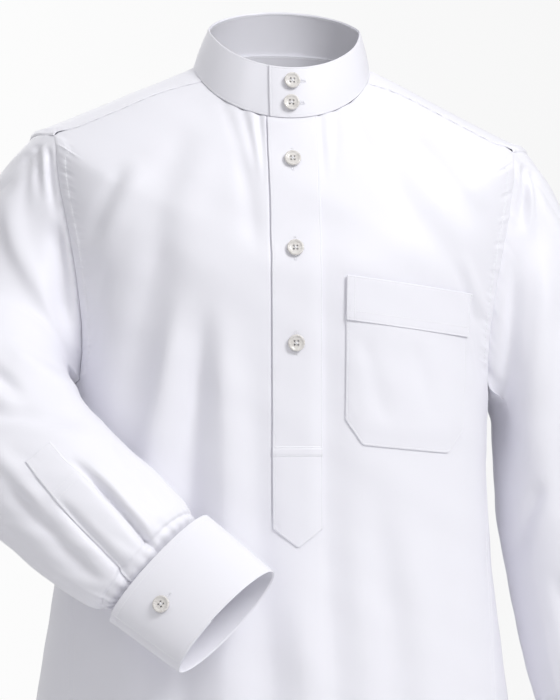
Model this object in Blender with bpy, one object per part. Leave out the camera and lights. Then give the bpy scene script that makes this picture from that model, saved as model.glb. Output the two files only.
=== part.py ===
"""A men's thobe: an ankle-length white robe with a buttoned stand collar, a half placket, a chest pocket
and long cuffed sleeves, modelled as the hollow cloth keeps its shape when it is worn.

Units are metres. +Z is up, the front faces -Y and the wearer's left is +X. The origin is the middle of the
neck, level with the points where the shoulders meet the collar. Every piece of cloth is a thin wall, built
from a grid of points on the robe's outer form, and each has its own object.
"""

import math

import bmesh
import bpy
import numpy as np
from mathutils import Matrix

# ---------------------------------------------------------------------------------------------- sizes

CLOTH = 0.0012  # wall of the body and sleeve panels
BAND = 0.0018  # wall of the stiffened collar and cuffs
STRIP = 0.0010  # wall of the plackets and pocket pieces
GAP = 0.0003  # clear space between pieces that are sewn together
SEAM_PULL = 0.00020  # each panel stops this far short of a seam line
FOLD_LIMIT = 0.5  # cosine of half the turn past which two panels at a seam double back on each other
FOLD_GAP = 0.0003  # how far each of those two panels then stands back

# The front placket, with its button line on x = 0.
PLACKET_RIGHT = -0.0200
PLACKET_LEFT = 0.0230
PLACKET_MIDDLE = (PLACKET_RIGHT + PLACKET_LEFT) / 2
PLACKET_LAP = 0.0060  # how far the front panel reaches under each side of it
UNDER_SHORTER = 2  # rows of points by which the button strip stops short of the placket's end
STRIP_INSET = 0.06  # share of its first row by which a sewn-on piece starts below a seam

# The chest pocket, on the wearer's left: where its sides cross the chest.
POCKET_INNER = 0.0430
POCKET_OUTER = 0.1545
POCKET_CUT = 0.0150  # width of each clipped lower corner
POCKET_BAND = 0.0013  # wall of the folded band over its mouth

BUTTON_RADIUS = 0.0072
BUTTON_THICK = 0.0026
BUTTON_DISH = 0.0008
HOLE_RADIUS = 0.0009
HOLE_OFFSET = 0.0016

COLLAR_LAP = 0.0225  # the collar's two ends pass the button line by this much
COLLAR_RAISE = 0.0016  # clear height between the neck seam and the collar's lower edge
COLLAR_SWAY = 0.0025  # the collar leans this far to the wearer's left at its top
CUFF_LAP = math.radians(58)  # how far round the wrist a cuff's two ends overlap

WHITE = (0.90, 0.90, 0.95, 1.0)
PEARL = (0.80, 0.77, 0.73, 1.0)

# ------------------------------------------------------------------------------------- body sections

# One row for each section round the body, from the neck seam down to the hem. A section is an oval with
# its own height at the front, side and back, so that it can follow the neck, the shoulders or the hem.
#   front_z, side_z, back_z   height at the middle of the front, at the side and at the middle of the back
#   width                     half the width
#   mid_y, front_y, back_y    depth of the widest point, of the front and of the back
#   square                    2 for an ellipse, more for a squarer oval
#   curl                      how fast the height changes away from the middle of the front and back
#   pocket_x                  how far out the front panel's column at the pocket's outer side lies
#   front_x, back_x           where the front panel and the back panel end: at the shoulder seam and
#                             the armhole above the armpit, and at the side seam below it
SECTION_COLUMNS = (
    "front_z", "side_z", "back_z", "width", "mid_y", "front_y", "back_y", "square", "curl",
    "pocket_x", "front_x", "back_x",
)
SECTIONS = {
    "neck": (-0.051, -0.001, 0.015, 0.0775, -0.015, -0.095, 0.055, 2.00, 1.15, 0.0550, 0.0730, 0.0730),
    "collarbone": (-0.074, -0.014, -0.006, 0.108, -0.012, -0.105, 0.076, 2.05, 1.50, 0.0830, 0.1030, 0.1000),
    "mid_shoulder": (-0.100, -0.035, -0.037, 0.152, -0.007, -0.116, 0.096, 2.15, 2.00, 0.1190, 0.1430, 0.1380),
    "outer_shoulder": (-0.124, -0.054, -0.067, 0.194, -0.002, -0.123, 0.110, 2.25, 2.20, 0.1520, 0.1820, 0.1760),
    "shoulder_corner": (-0.138, -0.063, -0.084, 0.214, 0.000, -0.126, 0.115, 2.30, 2.20, 0.1680, 0.2020, 0.1960),
    "shoulder_point": (-0.146, -0.069, -0.098, 0.223, 0.002, -0.128, 0.119, 2.30, 2.20, 0.1680, 0.2015, 0.2040),
    "arm_upper": (-0.159, -0.106, -0.130, 0.216, 0.002, -0.132, 0.124, 2.40, 2.20, 0.1650, 0.1965, 0.2010),
    "arm_middle": (-0.172, -0.163, -0.180, 0.206, 0.001, -0.136, 0.127, 2.50, 2.00, 0.1590, 0.1880, 0.1930),
    "pocket_mouth": (-0.186, -0.234, -0.230, 0.192, 0.000, -0.139, 0.128, 2.50, 1.00, 0.1545, 0.1790, 0.1850),
    "band_edge": (-0.226, -0.266, -0.258, 0.186, 0.000, -0.141, 0.128, 2.50, 1.00, 0.1515, 0.1775, 0.1800),
    "armpit": (-0.243, -0.278, -0.272, 0.1840, 0.000, -0.1415, 0.127, 2.50, 1.00, 0.1510, 0.1790, 0.1790),
    "pocket_clip": (-0.3085, -0.352, -0.345, 0.1845, 0.000, -0.1430, 0.124, 2.50, 1.00, 0.1490, 0.1800, 0.1790),
    "pocket_foot": (-0.3295, -0.368, -0.362, 0.1858, 0.000, -0.1435, 0.123, 2.45, 1.00, 0.1490, 0.1805, 0.1795),
    "placket_side": (-0.401, -0.428, -0.425, 0.1950, 0.001, -0.1450, 0.124, 2.40, 1.00, 0.1500, 0.1830, 0.1815),
    "placket_tip": (-0.417, -0.442, -0.440, 0.1975, 0.001, -0.1455, 0.1245, 2.40, 1.00, 0.1505, 0.1835, 0.1820),
    "hip": (-0.545, -0.560, -0.560, 0.217, 0.002, -0.1520, 0.136, 2.30, 1.00, 0.1540, 0.1870, 0.1860),
    "thigh": (-0.700, -0.706, -0.706, 0.238, 0.002, -0.1600, 0.145, 2.25, 1.00, 0.1590, 0.1920, 0.1910),
    "knee": (-0.880, -0.884, -0.884, 0.257, 0.000, -0.1690, 0.153, 2.20, 1.00, 0.1640, 0.1970, 0.1960),
    "calf": (-1.060, -1.062, -1.062, 0.273, -0.002, -0.1770, 0.160, 2.20, 1.00, 0.1680, 0.2010, 0.2000),
    "shin": (-1.240, -1.241, -1.241, 0.286, -0.004, -0.1840, 0.167, 2.20, 1.00, 0.1720, 0.2050, 0.2040),
    "hem": (-1.420, -1.420, -1.420, 0.298, -0.006, -0.1910, 0.174, 2.20, 1.00, 0.1760, 0.2090, 0.2080),
}
SECTION_NAMES = tuple(SECTIONS)
CHEST_EDGE = 0.1790  # half width of the front panel across the chest, which its columns are set out on

# Folds on the front and on the back: x and z where each starts, x and z where it ends, its height, which is
# positive for a ridge and negative for a trough, half its width, and whether it fades out at its end.
FRONT_FOLDS = (
    (-0.098, -0.200, -0.160, -1.420, 0.012, 0.021, False),
    (-0.085, -0.230, -0.112, -1.420, -0.013, 0.017, False),
    (-0.063, -0.215, -0.070, -1.420, 0.011, 0.019, False),
    (-0.030, -0.400, -0.030, -1.420, -0.012, 0.018, False),
    (0.002, -0.440, 0.008, -1.420, 0.010, 0.018, False),
    (0.034, -0.130, 0.048, -1.420, -0.012, 0.018, False),
    (0.068, -0.350, 0.084, -1.420, 0.011, 0.020, False),
    (0.092, -0.360, 0.122, -1.420, -0.012, 0.020, False),
    (0.123, -0.350, 0.162, -1.420, 0.011, 0.020, False),
    (-0.110, -0.100, -0.165, -0.215, -0.005, 0.014, True),
    (0.105, -0.095, 0.160, -0.190, -0.005, 0.014, True),
)
BACK_FOLDS = (
    (-0.105, -0.160, -0.165, -1.420, 0.011, 0.021, False),
    (-0.075, -0.200, -0.115, -1.420, -0.013, 0.018, False),
    (-0.045, -0.120, -0.062, -1.420, 0.012, 0.020, False),
    (-0.008, -0.300, -0.012, -1.420, -0.012, 0.020, False),
    (0.034, -0.120, 0.042, -1.420, 0.012, 0.020, False),
    (0.066, -0.240, 0.094, -1.420, -0.012, 0.019, False),
    (0.104, -0.170, 0.150, -1.420, 0.011, 0.021, False),
)
SHOULDER_TILT = 0.006  # the wearer's right shoulder is raised by this much and the left one lowered
SIDE_RIPPLE = 0.009  # depth of the soft flutes down each gore at the hem
SIDE_FLUTES = 10.4  # flutes in one turn round the body
BODY_DEPTH = 0.15  # rough half depth of the body, which sets the direction that its folds stand out in
FLAT_FROM, FLAT_RAMP = 0.12, 0.35  # cosine of the angle at which the front and back folds start, and its ramp
SKIRT_TOP = -0.42  # height below which the side flutes grow, and above which the shoulders' tilt does
FOLD_SPREAD = 0.35  # share by which a fold is wider at its end than at its start
FOLD_START = 0.35  # share of its height that a fold has near its start
FOLD_GROWTH = 2.2  # how soon a fold rises from its start

# Where the front panel's columns cross the chest, from the wearer's right to the left.
FRONT_COLUMNS = (
    -CHEST_EDGE, -0.150, -0.124, -0.100, -0.078, -0.058, -0.039,
    PLACKET_RIGHT, PLACKET_RIGHT + PLACKET_LAP, PLACKET_MIDDLE, PLACKET_LEFT - PLACKET_LAP, PLACKET_LEFT,
    POCKET_INNER, POCKET_INNER + POCKET_CUT, 0.078, 0.098, 0.118, POCKET_OUTER - POCKET_CUT, POCKET_OUTER,
    0.167, CHEST_EDGE,
)
BACK_COLUMNS = tuple(CHEST_EDGE * share for share in np.linspace(-1, 1, 15))
GORE_COLUMNS = 4
# Shares of the way between two sections at which a panel has another row of points.
EXTRA_ROWS = {"neck": (0.5,), "arm_upper": (0.5,), "armpit": (0.5,), "placket_tip": (0.5,)}

# The yoke's columns on one side, from its front seam to the middle of the back: how far round each is at
# the neck and at the outer edge, from 0 at the front seam to 1 at the middle of the back, and the section
# that its outer end reaches, counted from the neck.
YOKE_COLUMNS = (
    (0.00, 0.00, 4.00),
    (0.08, 0.09, 4.55),
    (0.17, 0.17, 5.00),
    (0.26, 0.25, 5.30),
    (0.36, 0.36, 5.75),
    (0.52, 0.56, 5.45),
    (0.68, 0.72, 5.30),
    (0.84, 0.86, 5.22),
    (1.00, 1.00, 5.20),
)
YOKE_CORNER = 4  # the column that ends where the back yoke seam meets the armhole
YOKE_ROWS = 6

# ------------------------------------------------------------------------------------------- sleeves

# One row for each section across a sleeve, along the arm: the x, y and z of its edge on the body's side, the
# x, y and z of its edge away from the body, and how far it reaches from its middle to the front or back.
LEFT_ARM = {
    "biceps": (0.1925, 0.003, -0.318, 0.2985, 0.004, -0.292, 0.0690),
    "elbow": (0.1960, 0.006, -0.388, 0.3130, 0.006, -0.366, 0.0700),
    "forearm": (0.2075, -0.002, -0.468, 0.3270, -0.002, -0.450, 0.0640),
    "lower_arm": (0.2195, -0.014, -0.538, 0.3360, -0.014, -0.522, 0.0560),
    "gather": (0.2260, -0.021, -0.570, 0.3410, -0.021, -0.555, 0.0460),
    "cuff_seam": (0.2300, -0.025, -0.584, 0.3392, -0.025, -0.569, 0.0338),
    "cuff_end": (0.2400, -0.040, -0.656, 0.3480, -0.040, -0.641, 0.0338),
}
RIGHT_ARM = {
    "biceps": (-0.1940, -0.050, -0.290, -0.3140, -0.036, -0.232, 0.0680),
    "upper_elbow": (-0.1880, -0.086, -0.301, -0.3280, -0.078, -0.290, 0.0640),
    "elbow": (-0.1720, -0.112, -0.308, -0.3200, -0.110, -0.342, 0.0580),
    "crook": (-0.1570, -0.132, -0.3177, -0.2860, -0.140, -0.3790, 0.0520),
    "forearm": (-0.1385, -0.144, -0.3340, -0.2480, -0.156, -0.4080, 0.0470),
    "lower_arm": (-0.1137, -0.156, -0.3547, -0.2110, -0.171, -0.4400, 0.0420),
    "gather": (-0.0885, -0.1670, -0.3780, -0.1755, -0.1880, -0.4650, 0.0370),
    "cuff_seam": (-0.0775, -0.1725, -0.3882, -0.1592, -0.1937, -0.4716, 0.0292),
    "cuff_end": (-0.0246, -0.2050, -0.4335, -0.1040, -0.2270, -0.5100, 0.0292),
}
CUFF_EASE = 0.08  # share of the last gathered stretch at which the sleeve stops short of its cuff
HEAD_ROWS = 5  # rows between the armhole and the first section of a sleeve
ARM_ROWS = 2  # rows between one section of a sleeve and the next

HEAD_SPRING = 0.8  # how far the cloth springs outwards as it leaves the top of the armhole

# Angles round the arm, from its outer side towards the front: the sleeve plackets and the cuffs' over ends.
RIGHT_VENT, LEFT_VENT = math.radians(96), math.radians(-84)
RIGHT_LAP, LEFT_LAP = math.radians(18), math.radians(-110)
VENT_ROWS = 8  # rows of the sleeve that its placket runs over
VENT_SLANT = 0.5  # share of a row by which the placket's end is cut back on one side

CUFF_ROWS, CUFF_COLUMNS = 3, 33
CUFF_UNDER_RAMP = 0.35  # angle over which a cuff's under end drops below its over end
CUFF_BUTTON_PLACE = 0.53  # share of the cuff's length
CUFF_BUTTON_TURN = math.radians(44)  # from the cuff's over end
COLLAR_COLUMNS = 45
BUTTON_SIDES = 16

# The collar's upper edge, in the same terms as a section of the body.
COLLAR_TOP = {
    "front_z": -0.006, "side_z": 0.0336, "back_z": 0.0566, "width": 0.0665, "mid_y": -0.015, "front_y": -0.086,
    "back_y": 0.046, "square": 2.0, "curl": 1.15,
}
COLLAR_HEIGHTS = (0.0, 0.33, 0.67, 1.0)  # shares of its height at which the collar has a row of points
COLLAR_UNDER_RAMP = 2.2  # laps before its end at which the collar's under end starts to drop
COLLAR_BUTTONS = (0.72, 0.29)  # shares of the collar's height
PLACKET_BUTTONS = (-0.087, -0.164, -0.244)  # heights


# ------------------------------------------------------------------------------------ small geometry


def unit(vector):
    """The vector at length 1."""
    return vector / max(np.linalg.norm(vector), 1e-12)


def smooth_step(share):
    """0 below 0, 1 above 1, and an even curve between."""
    share = np.clip(share, 0, 1)
    return share * share * (3 - 2 * share)


def slopes_of(values):
    """The slope at each row of a column of values, such that a cubic through them never overshoots."""
    steps = np.diff(values)
    slopes = np.zeros(len(values))
    slopes[0], slopes[-1] = steps[0], steps[-1]
    for row in range(1, len(values) - 1):
        before, after = steps[row - 1], steps[row]
        if before * after > 0:
            slopes[row] = 2 * before * after / (before + after)
    return slopes


def between_rows(values, slopes, at):
    """The column's value at a place counted in rows, which may lie between two of them."""
    row = min(int(at), len(values) - 2)
    share = at - row
    rise = values[row + 1] - values[row]
    return (
        values[row]
        + share * slopes[row]
        + share**2 * (3 * rise - 2 * slopes[row] - slopes[row + 1])
        + share**3 * (slopes[row] + slopes[row + 1] - 2 * rise)
    )


SECTION_VALUES = {name: np.array([row[i] for row in SECTIONS.values()]) for i, name in enumerate(SECTION_COLUMNS)}
SECTION_SLOPES = {name: slopes_of(values) for name, values in SECTION_VALUES.items()}


def section_at(place):
    """The section at a place counted in rows of the table, as a dictionary of its sizes."""
    return {name: between_rows(SECTION_VALUES[name], SECTION_SLOPES[name], place) for name in SECTION_COLUMNS}


def row_of(name):
    """The place of a named section."""
    return SECTION_NAMES.index(name)


def angle_of(section, x):
    """The angle round a section, from the middle of the front or back, at which it is x wide."""
    return math.asin(min(1.0, (abs(x) / section["width"]) ** (section["square"] / 2)))


def on_section(section, angle):
    """The point of a section at an angle from the middle of the front: 90 degrees is the wearer's left."""
    power = 2 / section["square"]
    across, ahead = math.sin(angle), math.cos(angle)
    x = math.copysign(section["width"] * abs(across) ** power, across)
    end_y, end_z = ("front_y", "front_z") if ahead >= 0 else ("back_y", "back_z")
    share = abs(ahead)
    y = section["mid_y"] + (section[end_y] - section["mid_y"]) * share**power
    z = section["side_z"] + (section[end_z] - section["side_z"]) * share ** section["curl"]
    return np.array((x, y, z))


def fold_lift(x, z, folds):
    """How far the folds lift the cloth out at a place on the front or back."""
    lift = 0.0
    for x_top, z_top, x_end, z_end, height, half_width, fades in folds:
        along = (z - z_top) / (z_end - z_top)
        if along <= 0 or along >= 1 and fades:
            continue
        if fades:
            grown = math.sin(math.pi * along)
        else:
            grown = smooth_step(along * FOLD_GROWTH) * (FOLD_START + (1 - FOLD_START) * min(along, 1))
        away = (x - x_top - (x_end - x_top) * along) / (half_width * (1 + FOLD_SPREAD * along))
        lift += height * grown * math.exp(-away * away)
    return lift


def body_point(place, angle):
    """The robe's outer form at a section and an angle, with its folds."""
    section = section_at(place)
    point = on_section(section, angle)
    ahead = math.cos(angle)
    flat = smooth_step((abs(ahead) - FLAT_FROM) / FLAT_RAMP)
    lift = fold_lift(point[0], point[2], FRONT_FOLDS if ahead > 0 else BACK_FOLDS) * flat
    skirt = smooth_step(SKIRT_TOP - point[2])
    lift += SIDE_RIPPLE * skirt * (1 - flat) * math.cos(SIDE_FLUTES * angle)
    outward = unit(np.array((point[0] / section["width"] ** 2, (point[1] - section["mid_y"]) / BODY_DEPTH**2, 0)))
    tilt = SHOULDER_TILT * smooth_step((abs(point[0]) - 0.06) / 0.16) * smooth_step((point[2] - SKIRT_TOP) / 0.3)
    return point + outward * lift - np.array((0, 0, math.copysign(tilt, point[0])))


# ------------------------------------------------------------------------------------ grids of points


def rows_between(first, last):
    """The places of a panel's rows, from one named section to another."""
    places = []
    for row in range(row_of(first), row_of(last)):
        places.append(float(row))
        places += [row + share for share in EXTRA_ROWS.get(SECTION_NAMES[row], ())]
    return places + [float(row_of(last))]


def column_x(section, chest_x):
    """Where the front panel's column that crosses the chest at chest_x crosses this section."""
    if PLACKET_RIGHT <= chest_x <= PLACKET_LEFT:
        return chest_x
    start = PLACKET_LEFT if chest_x > 0 else -PLACKET_RIGHT
    x = np.interp(abs(chest_x), (start, POCKET_OUTER, CHEST_EDGE), (start, section["pocket_x"], section["front_x"]))
    return math.copysign(float(x), chest_x)


def front_grid():
    """The front panel's points: a row for each section from the neck to the hem."""
    grid = []
    for place in rows_between("neck", "hem"):
        section = section_at(place)
        crossings = [column_x(section, chest_x) for chest_x in FRONT_COLUMNS]
        grid.append([body_point(place, math.copysign(angle_of(section, x), x)) for x in crossings])
    return np.array(grid)


def yoke_point(column, share, side):
    """The yoke at a column of the table and a share of the way from the neck to its outer edge."""
    neck_way, outer_way, outer_place = column
    seam_place = share * row_of("shoulder_corner")
    seam = section_at(seam_place)
    seam_angle = angle_of(seam, seam["front_x"])
    way = neck_way + (outer_way - neck_way) * share
    return body_point(share * outer_place, side * (seam_angle + way * (math.pi - seam_angle)))


def yoke_shares():
    """Shares of the way out at which the yoke has a row, which match the front panel's rows."""
    last = row_of("shoulder_corner")
    return [place / last for place in rows_between("neck", "shoulder_corner")]


def yoke_grid():
    """The yoke's points, from its left front seam round the back to the right one."""
    grid = []
    for share in yoke_shares():
        left = [yoke_point(column, share, 1) for column in YOKE_COLUMNS]
        right = [yoke_point(column, share, -1) for column in YOKE_COLUMNS[-2::-1]]
        grid.append(left + right)
    return np.array(grid)


def back_grid(yoke):
    """The back panel's points, from the yoke seam to the hem."""
    corner_place = YOKE_COLUMNS[YOKE_CORNER][2]
    seam = yoke[-1][YOKE_CORNER : len(yoke[-1]) - YOKE_CORNER]
    places = [place for place in rows_between("arm_upper", "hem") if place > corner_place + 0.2]
    grid = [seam[::-1]]
    for place in places:
        section = section_at(place)
        row = []
        for point in grid[0]:
            share = point[0] / abs(grid[0][-1][0])
            angle = math.pi - angle_of(section, share * section["back_x"])
            row.append(body_point(place, math.copysign(angle, share)))
        grid.append(row)
    return np.array(grid)


def gore_grid(side):
    """The side gore's points, from the armpit to the hem; side is 1 for the wearer's left, -1 for the right."""
    grid = []
    for place in rows_between("armpit", "hem"):
        section = section_at(place)
        first = angle_of(section, section["front_x"])
        last = math.pi - angle_of(section, section["back_x"])
        angles = np.linspace(first, last, GORE_COLUMNS + 1)
        grid.append([body_point(place, side * angle) for angle in angles])
    return np.array(grid)


def armhole_ring(front, yoke, back, gore, side):
    """The points round one armhole, from the front seam of the yoke, down the front, under and up the back."""
    edge = -1 if side > 0 else 0
    front_places = rows_between("neck", "hem")
    back_places = [p for p in rows_between("arm_upper", "hem") if p > YOKE_COLUMNS[YOKE_CORNER][2] + 0.2]
    down = [front[i][edge] for i, p in enumerate(front_places) if 4 <= p <= row_of("armpit")]
    under = list(gore[0][1:-1])
    up = [back[i + 1][edge] for i, p in enumerate(back_places) if p <= row_of("armpit")][::-1]
    corner_to_front = list(yoke[-1][: YOKE_CORNER + 1]) if side > 0 else list(yoke[-1][::-1][: YOKE_CORNER + 1])
    over = corner_to_front[::-1][:-1]
    return np.array(down + under + up + over)


class Tube:
    """A sleeve's or cuff's sections along the arm, and the directions across each."""

    def __init__(self, sections, side):
        self.rows = np.array(list(sections.values()))
        self.slopes = [slopes_of(column) for column in self.rows.T]
        self.side = side

    def section(self, place):
        """The inner edge, the outer edge and the half depth at a place counted in sections."""
        values = np.array([between_rows(column, slopes, place) for column, slopes in zip(self.rows.T, self.slopes)])
        return values[:3], values[3:6], values[6]

    @property
    def seam(self):
        """The place of the seam between the sleeve and its cuff."""
        return len(self.rows) - 2

    def middle(self, place):
        """The middle of the arm at a place."""
        inner, outer, _ = self.section(place)
        return (inner + outer) / 2

    def along(self, place):
        """The direction down the arm at a place."""
        return unit(self.middle(min(place + 0.02, len(self.rows) - 1)) - self.middle(max(place - 0.02, 0)))

    def point(self, place, angle, lift=0.0):
        """The surface at an angle from the outer side of the arm towards the front, moved out by lift."""
        inner, outer, half_depth = self.section(place)
        across = unit(outer - inner)
        front = unit(np.cross(self.along(place), across)) * self.side
        half_width = np.linalg.norm(outer - inner) / 2
        return (
            (inner + outer) / 2
            + across * math.cos(angle) * (half_width + lift)
            + front * math.sin(angle) * (half_depth + lift)
        )


def ring_angles(ring):
    """The angle round the arm of each point of an armhole: 0 on top of the shoulder, 180 degrees under the arm."""
    count = len(ring)
    top, bottom = int(np.argmax(ring[:, 2])), int(np.argmin(ring[:, 2]))
    steps = np.linalg.norm(np.roll(ring, -1, axis=0) - ring, axis=1)

    def way(start, end):
        """The length of the ring from one of its points on to another."""
        return sum(steps[(start + i) % count] for i in range((end - start) % count))

    front, rear = way(top, bottom), way(bottom, top)
    angles = []
    for i in range(count):
        if (i - top) % count <= (bottom - top) % count:
            angles.append(math.pi * way(top, i) / front)
        else:
            angles.append(math.pi * (1 + way(bottom, i) / rear))
    return np.array(angles)


def sleeve_grid(ring, tube):
    """A sleeve's points: rows from the armhole to the last section, each right round the arm."""
    angles = ring_angles(ring)
    first = np.array([tube.point(0, angle) for angle in angles])
    arm = tube.along(0)
    rows = [ring]
    for row in range(1, HEAD_ROWS):
        share = row / HEAD_ROWS
        points = []
        for start, end, angle in zip(ring, first, angles):
            reach = np.linalg.norm(end - start)
            top = max(0.0, math.cos(angle))
            leave = unit(unit(end - start) + top * HEAD_SPRING * np.array((tube.side, 0, -0.45))) * reach
            h00 = (1 + 2 * share) * (1 - share) ** 2
            h10 = share * (1 - share) ** 2
            h11 = share**2 * (share - 1)
            points.append(h00 * start + h10 * leave + (1 - h00) * end + h11 * arm * reach)
        rows.append(np.array(points))
    places = np.append(np.arange(tube.seam * ARM_ROWS) / ARM_ROWS, tube.seam - CUFF_EASE)
    for place in places:
        rows.append(np.array([tube.point(place, angle) for angle in angles]))
    return np.array(rows), angles


# ------------------------------------------------------------------------------------ cloth walls


def key_of(point):
    """A point rounded to a twentieth of a millimetre, by which pieces that meet find each other."""
    return tuple(int(value) for value in np.round(np.asarray(point) * 20000))


def quads_of(shape, wrap=False, skip=None):
    """The cells of a grid as corners, leaving out those for which skip(row, column) is true."""
    rows, columns = shape[:2]
    across = columns if wrap else columns - 1
    cells = []
    for row in range(rows - 1):
        for column in range(across):
            if skip is None or not skip(row, column):
                after = (column + 1) % columns
                cells.append(((row, column), (row, after), (row + 1, after), (row + 1, column)))
    return cells


class Form:
    """The outer form of the whole robe, which gives every point the direction that faces out of the cloth."""

    def __init__(self):
        self.normals = {}

    def add(self, grid, cells, turn=1):
        """Adds a panel's cells; turn is -1 where its rows and columns run the other way round."""
        for cell in cells:
            corners = [grid[at] for at in cell]
            normal = unit(np.cross(corners[2] - corners[0], corners[3] - corners[1])) * turn
            for corner in corners:
                key = key_of(corner)
                self.normals[key] = self.normals.get(key, np.zeros(3)) + normal

    def out_of(self, grid):
        """The outward direction at each point of a grid."""
        rows, columns = grid.shape[:2]
        directions = np.zeros(grid.shape)
        for row in range(rows):
            for column in range(columns):
                directions[row, column] = unit(self.normals.get(key_of(grid[row, column]), np.array((0, -1.0, 0))))
        return directions


def pull_in(grid, normals, cells, distance):
    """The grid with the points on the edge of its cells moved in by a distance along the cloth."""
    uses = {}
    for cell in cells:
        for start, end in zip(cell, cell[1:] + cell[:1]):
            if key_of(grid[start]) != key_of(grid[end]):
                edge = (key_of(grid[start]), key_of(grid[end]))
                uses.setdefault(tuple(sorted(edge)), []).append((start, end, cell))
    moves = {}
    for shared in uses.values():
        if len(shared) == 1:
            start, end, cell = shared[0]
            along = grid[end] - grid[start]
            inward = unit(np.cross(normals[start] + normals[end], along))
            middle = sum(grid[at] for at in cell) / 4
            if np.dot(inward, middle - grid[start]) < 0:
                inward = -inward
            moves.setdefault(key_of(grid[start]), []).append(inward)
            moves.setdefault(key_of(grid[end]), []).append(inward)
    pulled = grid.copy()
    for row in range(grid.shape[0]):
        for column in range(grid.shape[1]):
            pulls = moves.get(key_of(grid[row, column]))
            if pulls:
                total = sum(pulls)
                size = np.linalg.norm(total) / len(pulls)
                pulled[row, column] += unit(total) * distance / max(size, 0.6)
    return pulled


def split_cell(pairs):
    """A cell's corners as triangles, cut across its shorter diagonal, which keeps both faces of a wall alike."""
    if len(pairs) == 3:
        return [pairs]
    first, second, third, fourth = pairs
    if (first[0].co - third[0].co).length <= (second[0].co - fourth[0].co).length:
        return [[first, second, third], [first, third, fourth]]
    return [[first, second, fourth], [second, third, fourth]]


def build_solid(name, outer, inner, cells, material):
    """A closed wall between two grids of the same shape, as a mesh object of its own."""
    mesh = bmesh.new()
    corners = {}

    def corner(at):
        """The pair of vertices, outer and inner, at a place in the grids."""
        key = key_of(outer[at])
        if key not in corners:
            corners[key] = (mesh.verts.new(outer[at]), mesh.verts.new(inner[at]))
        return corners[key]

    edges = {}
    for cell in cells:
        pairs = []
        for at in cell:
            pair = corner(at)
            if pair not in pairs:
                pairs.append(pair)
        if len(pairs) > 2:
            for corners_of in split_cell(pairs):
                mesh.faces.new([pair[0] for pair in corners_of])
                mesh.faces.new([pair[1] for pair in reversed(corners_of)])
            for start, end in zip(pairs, pairs[1:] + pairs[:1]):
                edges.setdefault(frozenset((start[0], end[0])), []).append((start, end))
    for uses in edges.values():
        if len(uses) == 1:
            start, end = uses[0]
            mesh.faces.new((end[0], start[0], start[1], end[1]))
    bmesh.ops.recalc_face_normals(mesh, faces=mesh.faces)
    return add_object(name, mesh, material)


def add_object(name, mesh, material):
    """Puts a finished mesh in the robe's collection under a name, with its own material."""
    data = bpy.data.meshes.new(name)
    mesh.to_mesh(data)
    mesh.free()
    piece = bpy.data.objects.new(name, data)
    data.materials.append(material)
    bpy.data.collections["thobe_robe"].objects.link(piece)
    return piece


def fabric(name, colour, roughness):
    """A Principled material of one colour and roughness."""
    material = bpy.data.materials.new(name)
    material.use_nodes = True
    shader = material.node_tree.nodes["Principled BSDF"]
    shader.inputs["Base Color"].default_value = colour
    shader.inputs["Roughness"].default_value = roughness
    material.diffuse_color = colour
    return material


def cloth_panel(name, form, grid, cells, turn):
    """A panel of the body or a sleeve: a wall inside the outer form, drawn back a little from its seams.

    Two panels share the direction of their walls along a seam, except where one doubles back on the other.
    """
    shared = form.out_of(grid)
    own = Form()
    own.add(grid, cells, turn)
    alone = own.out_of(grid)
    folded = (np.sum(shared * alone, axis=2) < FOLD_LIMIT)[..., None]
    normals = np.where(folded, alone, shared)
    outer = pull_in(grid, normals, cells, SEAM_PULL) - normals * folded * FOLD_GAP
    return build_solid(name, outer, outer - normals * CLOTH, cells, fabric(name, WHITE, 0.85))


def applied_strip(name, grid, normals, cells, base, thick=STRIP):
    """A piece sewn on a panel, made from the panel's points and raised over them by base."""
    return build_solid(
        name, grid + normals * (base + thick), grid + normals * base, cells, fabric(name, WHITE, 0.85)
    )


# ------------------------------------------------------------------------------------ front pieces


def placket_grid(form, front):
    """The front panel's points under the placket, from just below the neck seam down to its point."""
    places = rows_between("neck", "hem")
    last = places.index(row_of("placket_tip"))
    first, end = FRONT_COLUMNS.index(PLACKET_RIGHT), FRONT_COLUMNS.index(PLACKET_LEFT)
    grid = front[: last + 1, first : end + 1].copy()
    normals = form.out_of(grid)
    side = places.index(row_of("placket_side"))
    middle = FRONT_COLUMNS.index(PLACKET_MIDDLE) - first
    for column in range(end - first + 1):
        share = abs(grid[last, column, 0] - PLACKET_MIDDLE) / (PLACKET_LEFT - PLACKET_MIDDLE)
        if column != middle:
            grid[last, column] += (grid[side, column] - grid[last, column]) * min(1, share)
            normals[last, column] = normals[side, column]
    grid[0] += (grid[1] - grid[0]) * STRIP_INSET
    return grid, normals


def build_plackets(form, front):
    """The over placket with its pointed end, and the button strip behind the opening."""
    over, normals = placket_grid(form, front)
    applied_strip("placket_over", over, normals, quads_of(over.shape), GAP)
    under, normals = over[:-UNDER_SHORTER], normals[:-UNDER_SHORTER]
    applied_strip("placket_under", under, normals, quads_of(under.shape), -CLOTH - GAP - STRIP)


def build_pocket(form, front):
    """The chest pocket's pouch and the wide band over its mouth."""
    places = rows_between("neck", "hem")
    top, band, foot = (places.index(row_of(name)) for name in ("pocket_mouth", "band_edge", "pocket_foot"))
    clip = places.index(row_of("pocket_clip"))
    first, last = FRONT_COLUMNS.index(POCKET_INNER), FRONT_COLUMNS.index(POCKET_OUTER) + 1
    pouch = front[top : foot + 1, first:last].copy()
    normals = form.out_of(pouch)
    for side in (0, -1):
        pouch[foot - top, side] = pouch[clip - top, side]
        normals[foot - top, side] = normals[clip - top, side]
    pouch[0] += (pouch[1] - pouch[0]) * STRIP_INSET
    applied_strip("chest_pocket", pouch, normals, quads_of(pouch.shape), GAP)
    cover = front[top : band + 1, first:last].copy()
    applied_strip("pocket_band", cover, form.out_of(cover), quads_of(cover.shape), GAP * 2 + STRIP, POCKET_BAND)


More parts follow.
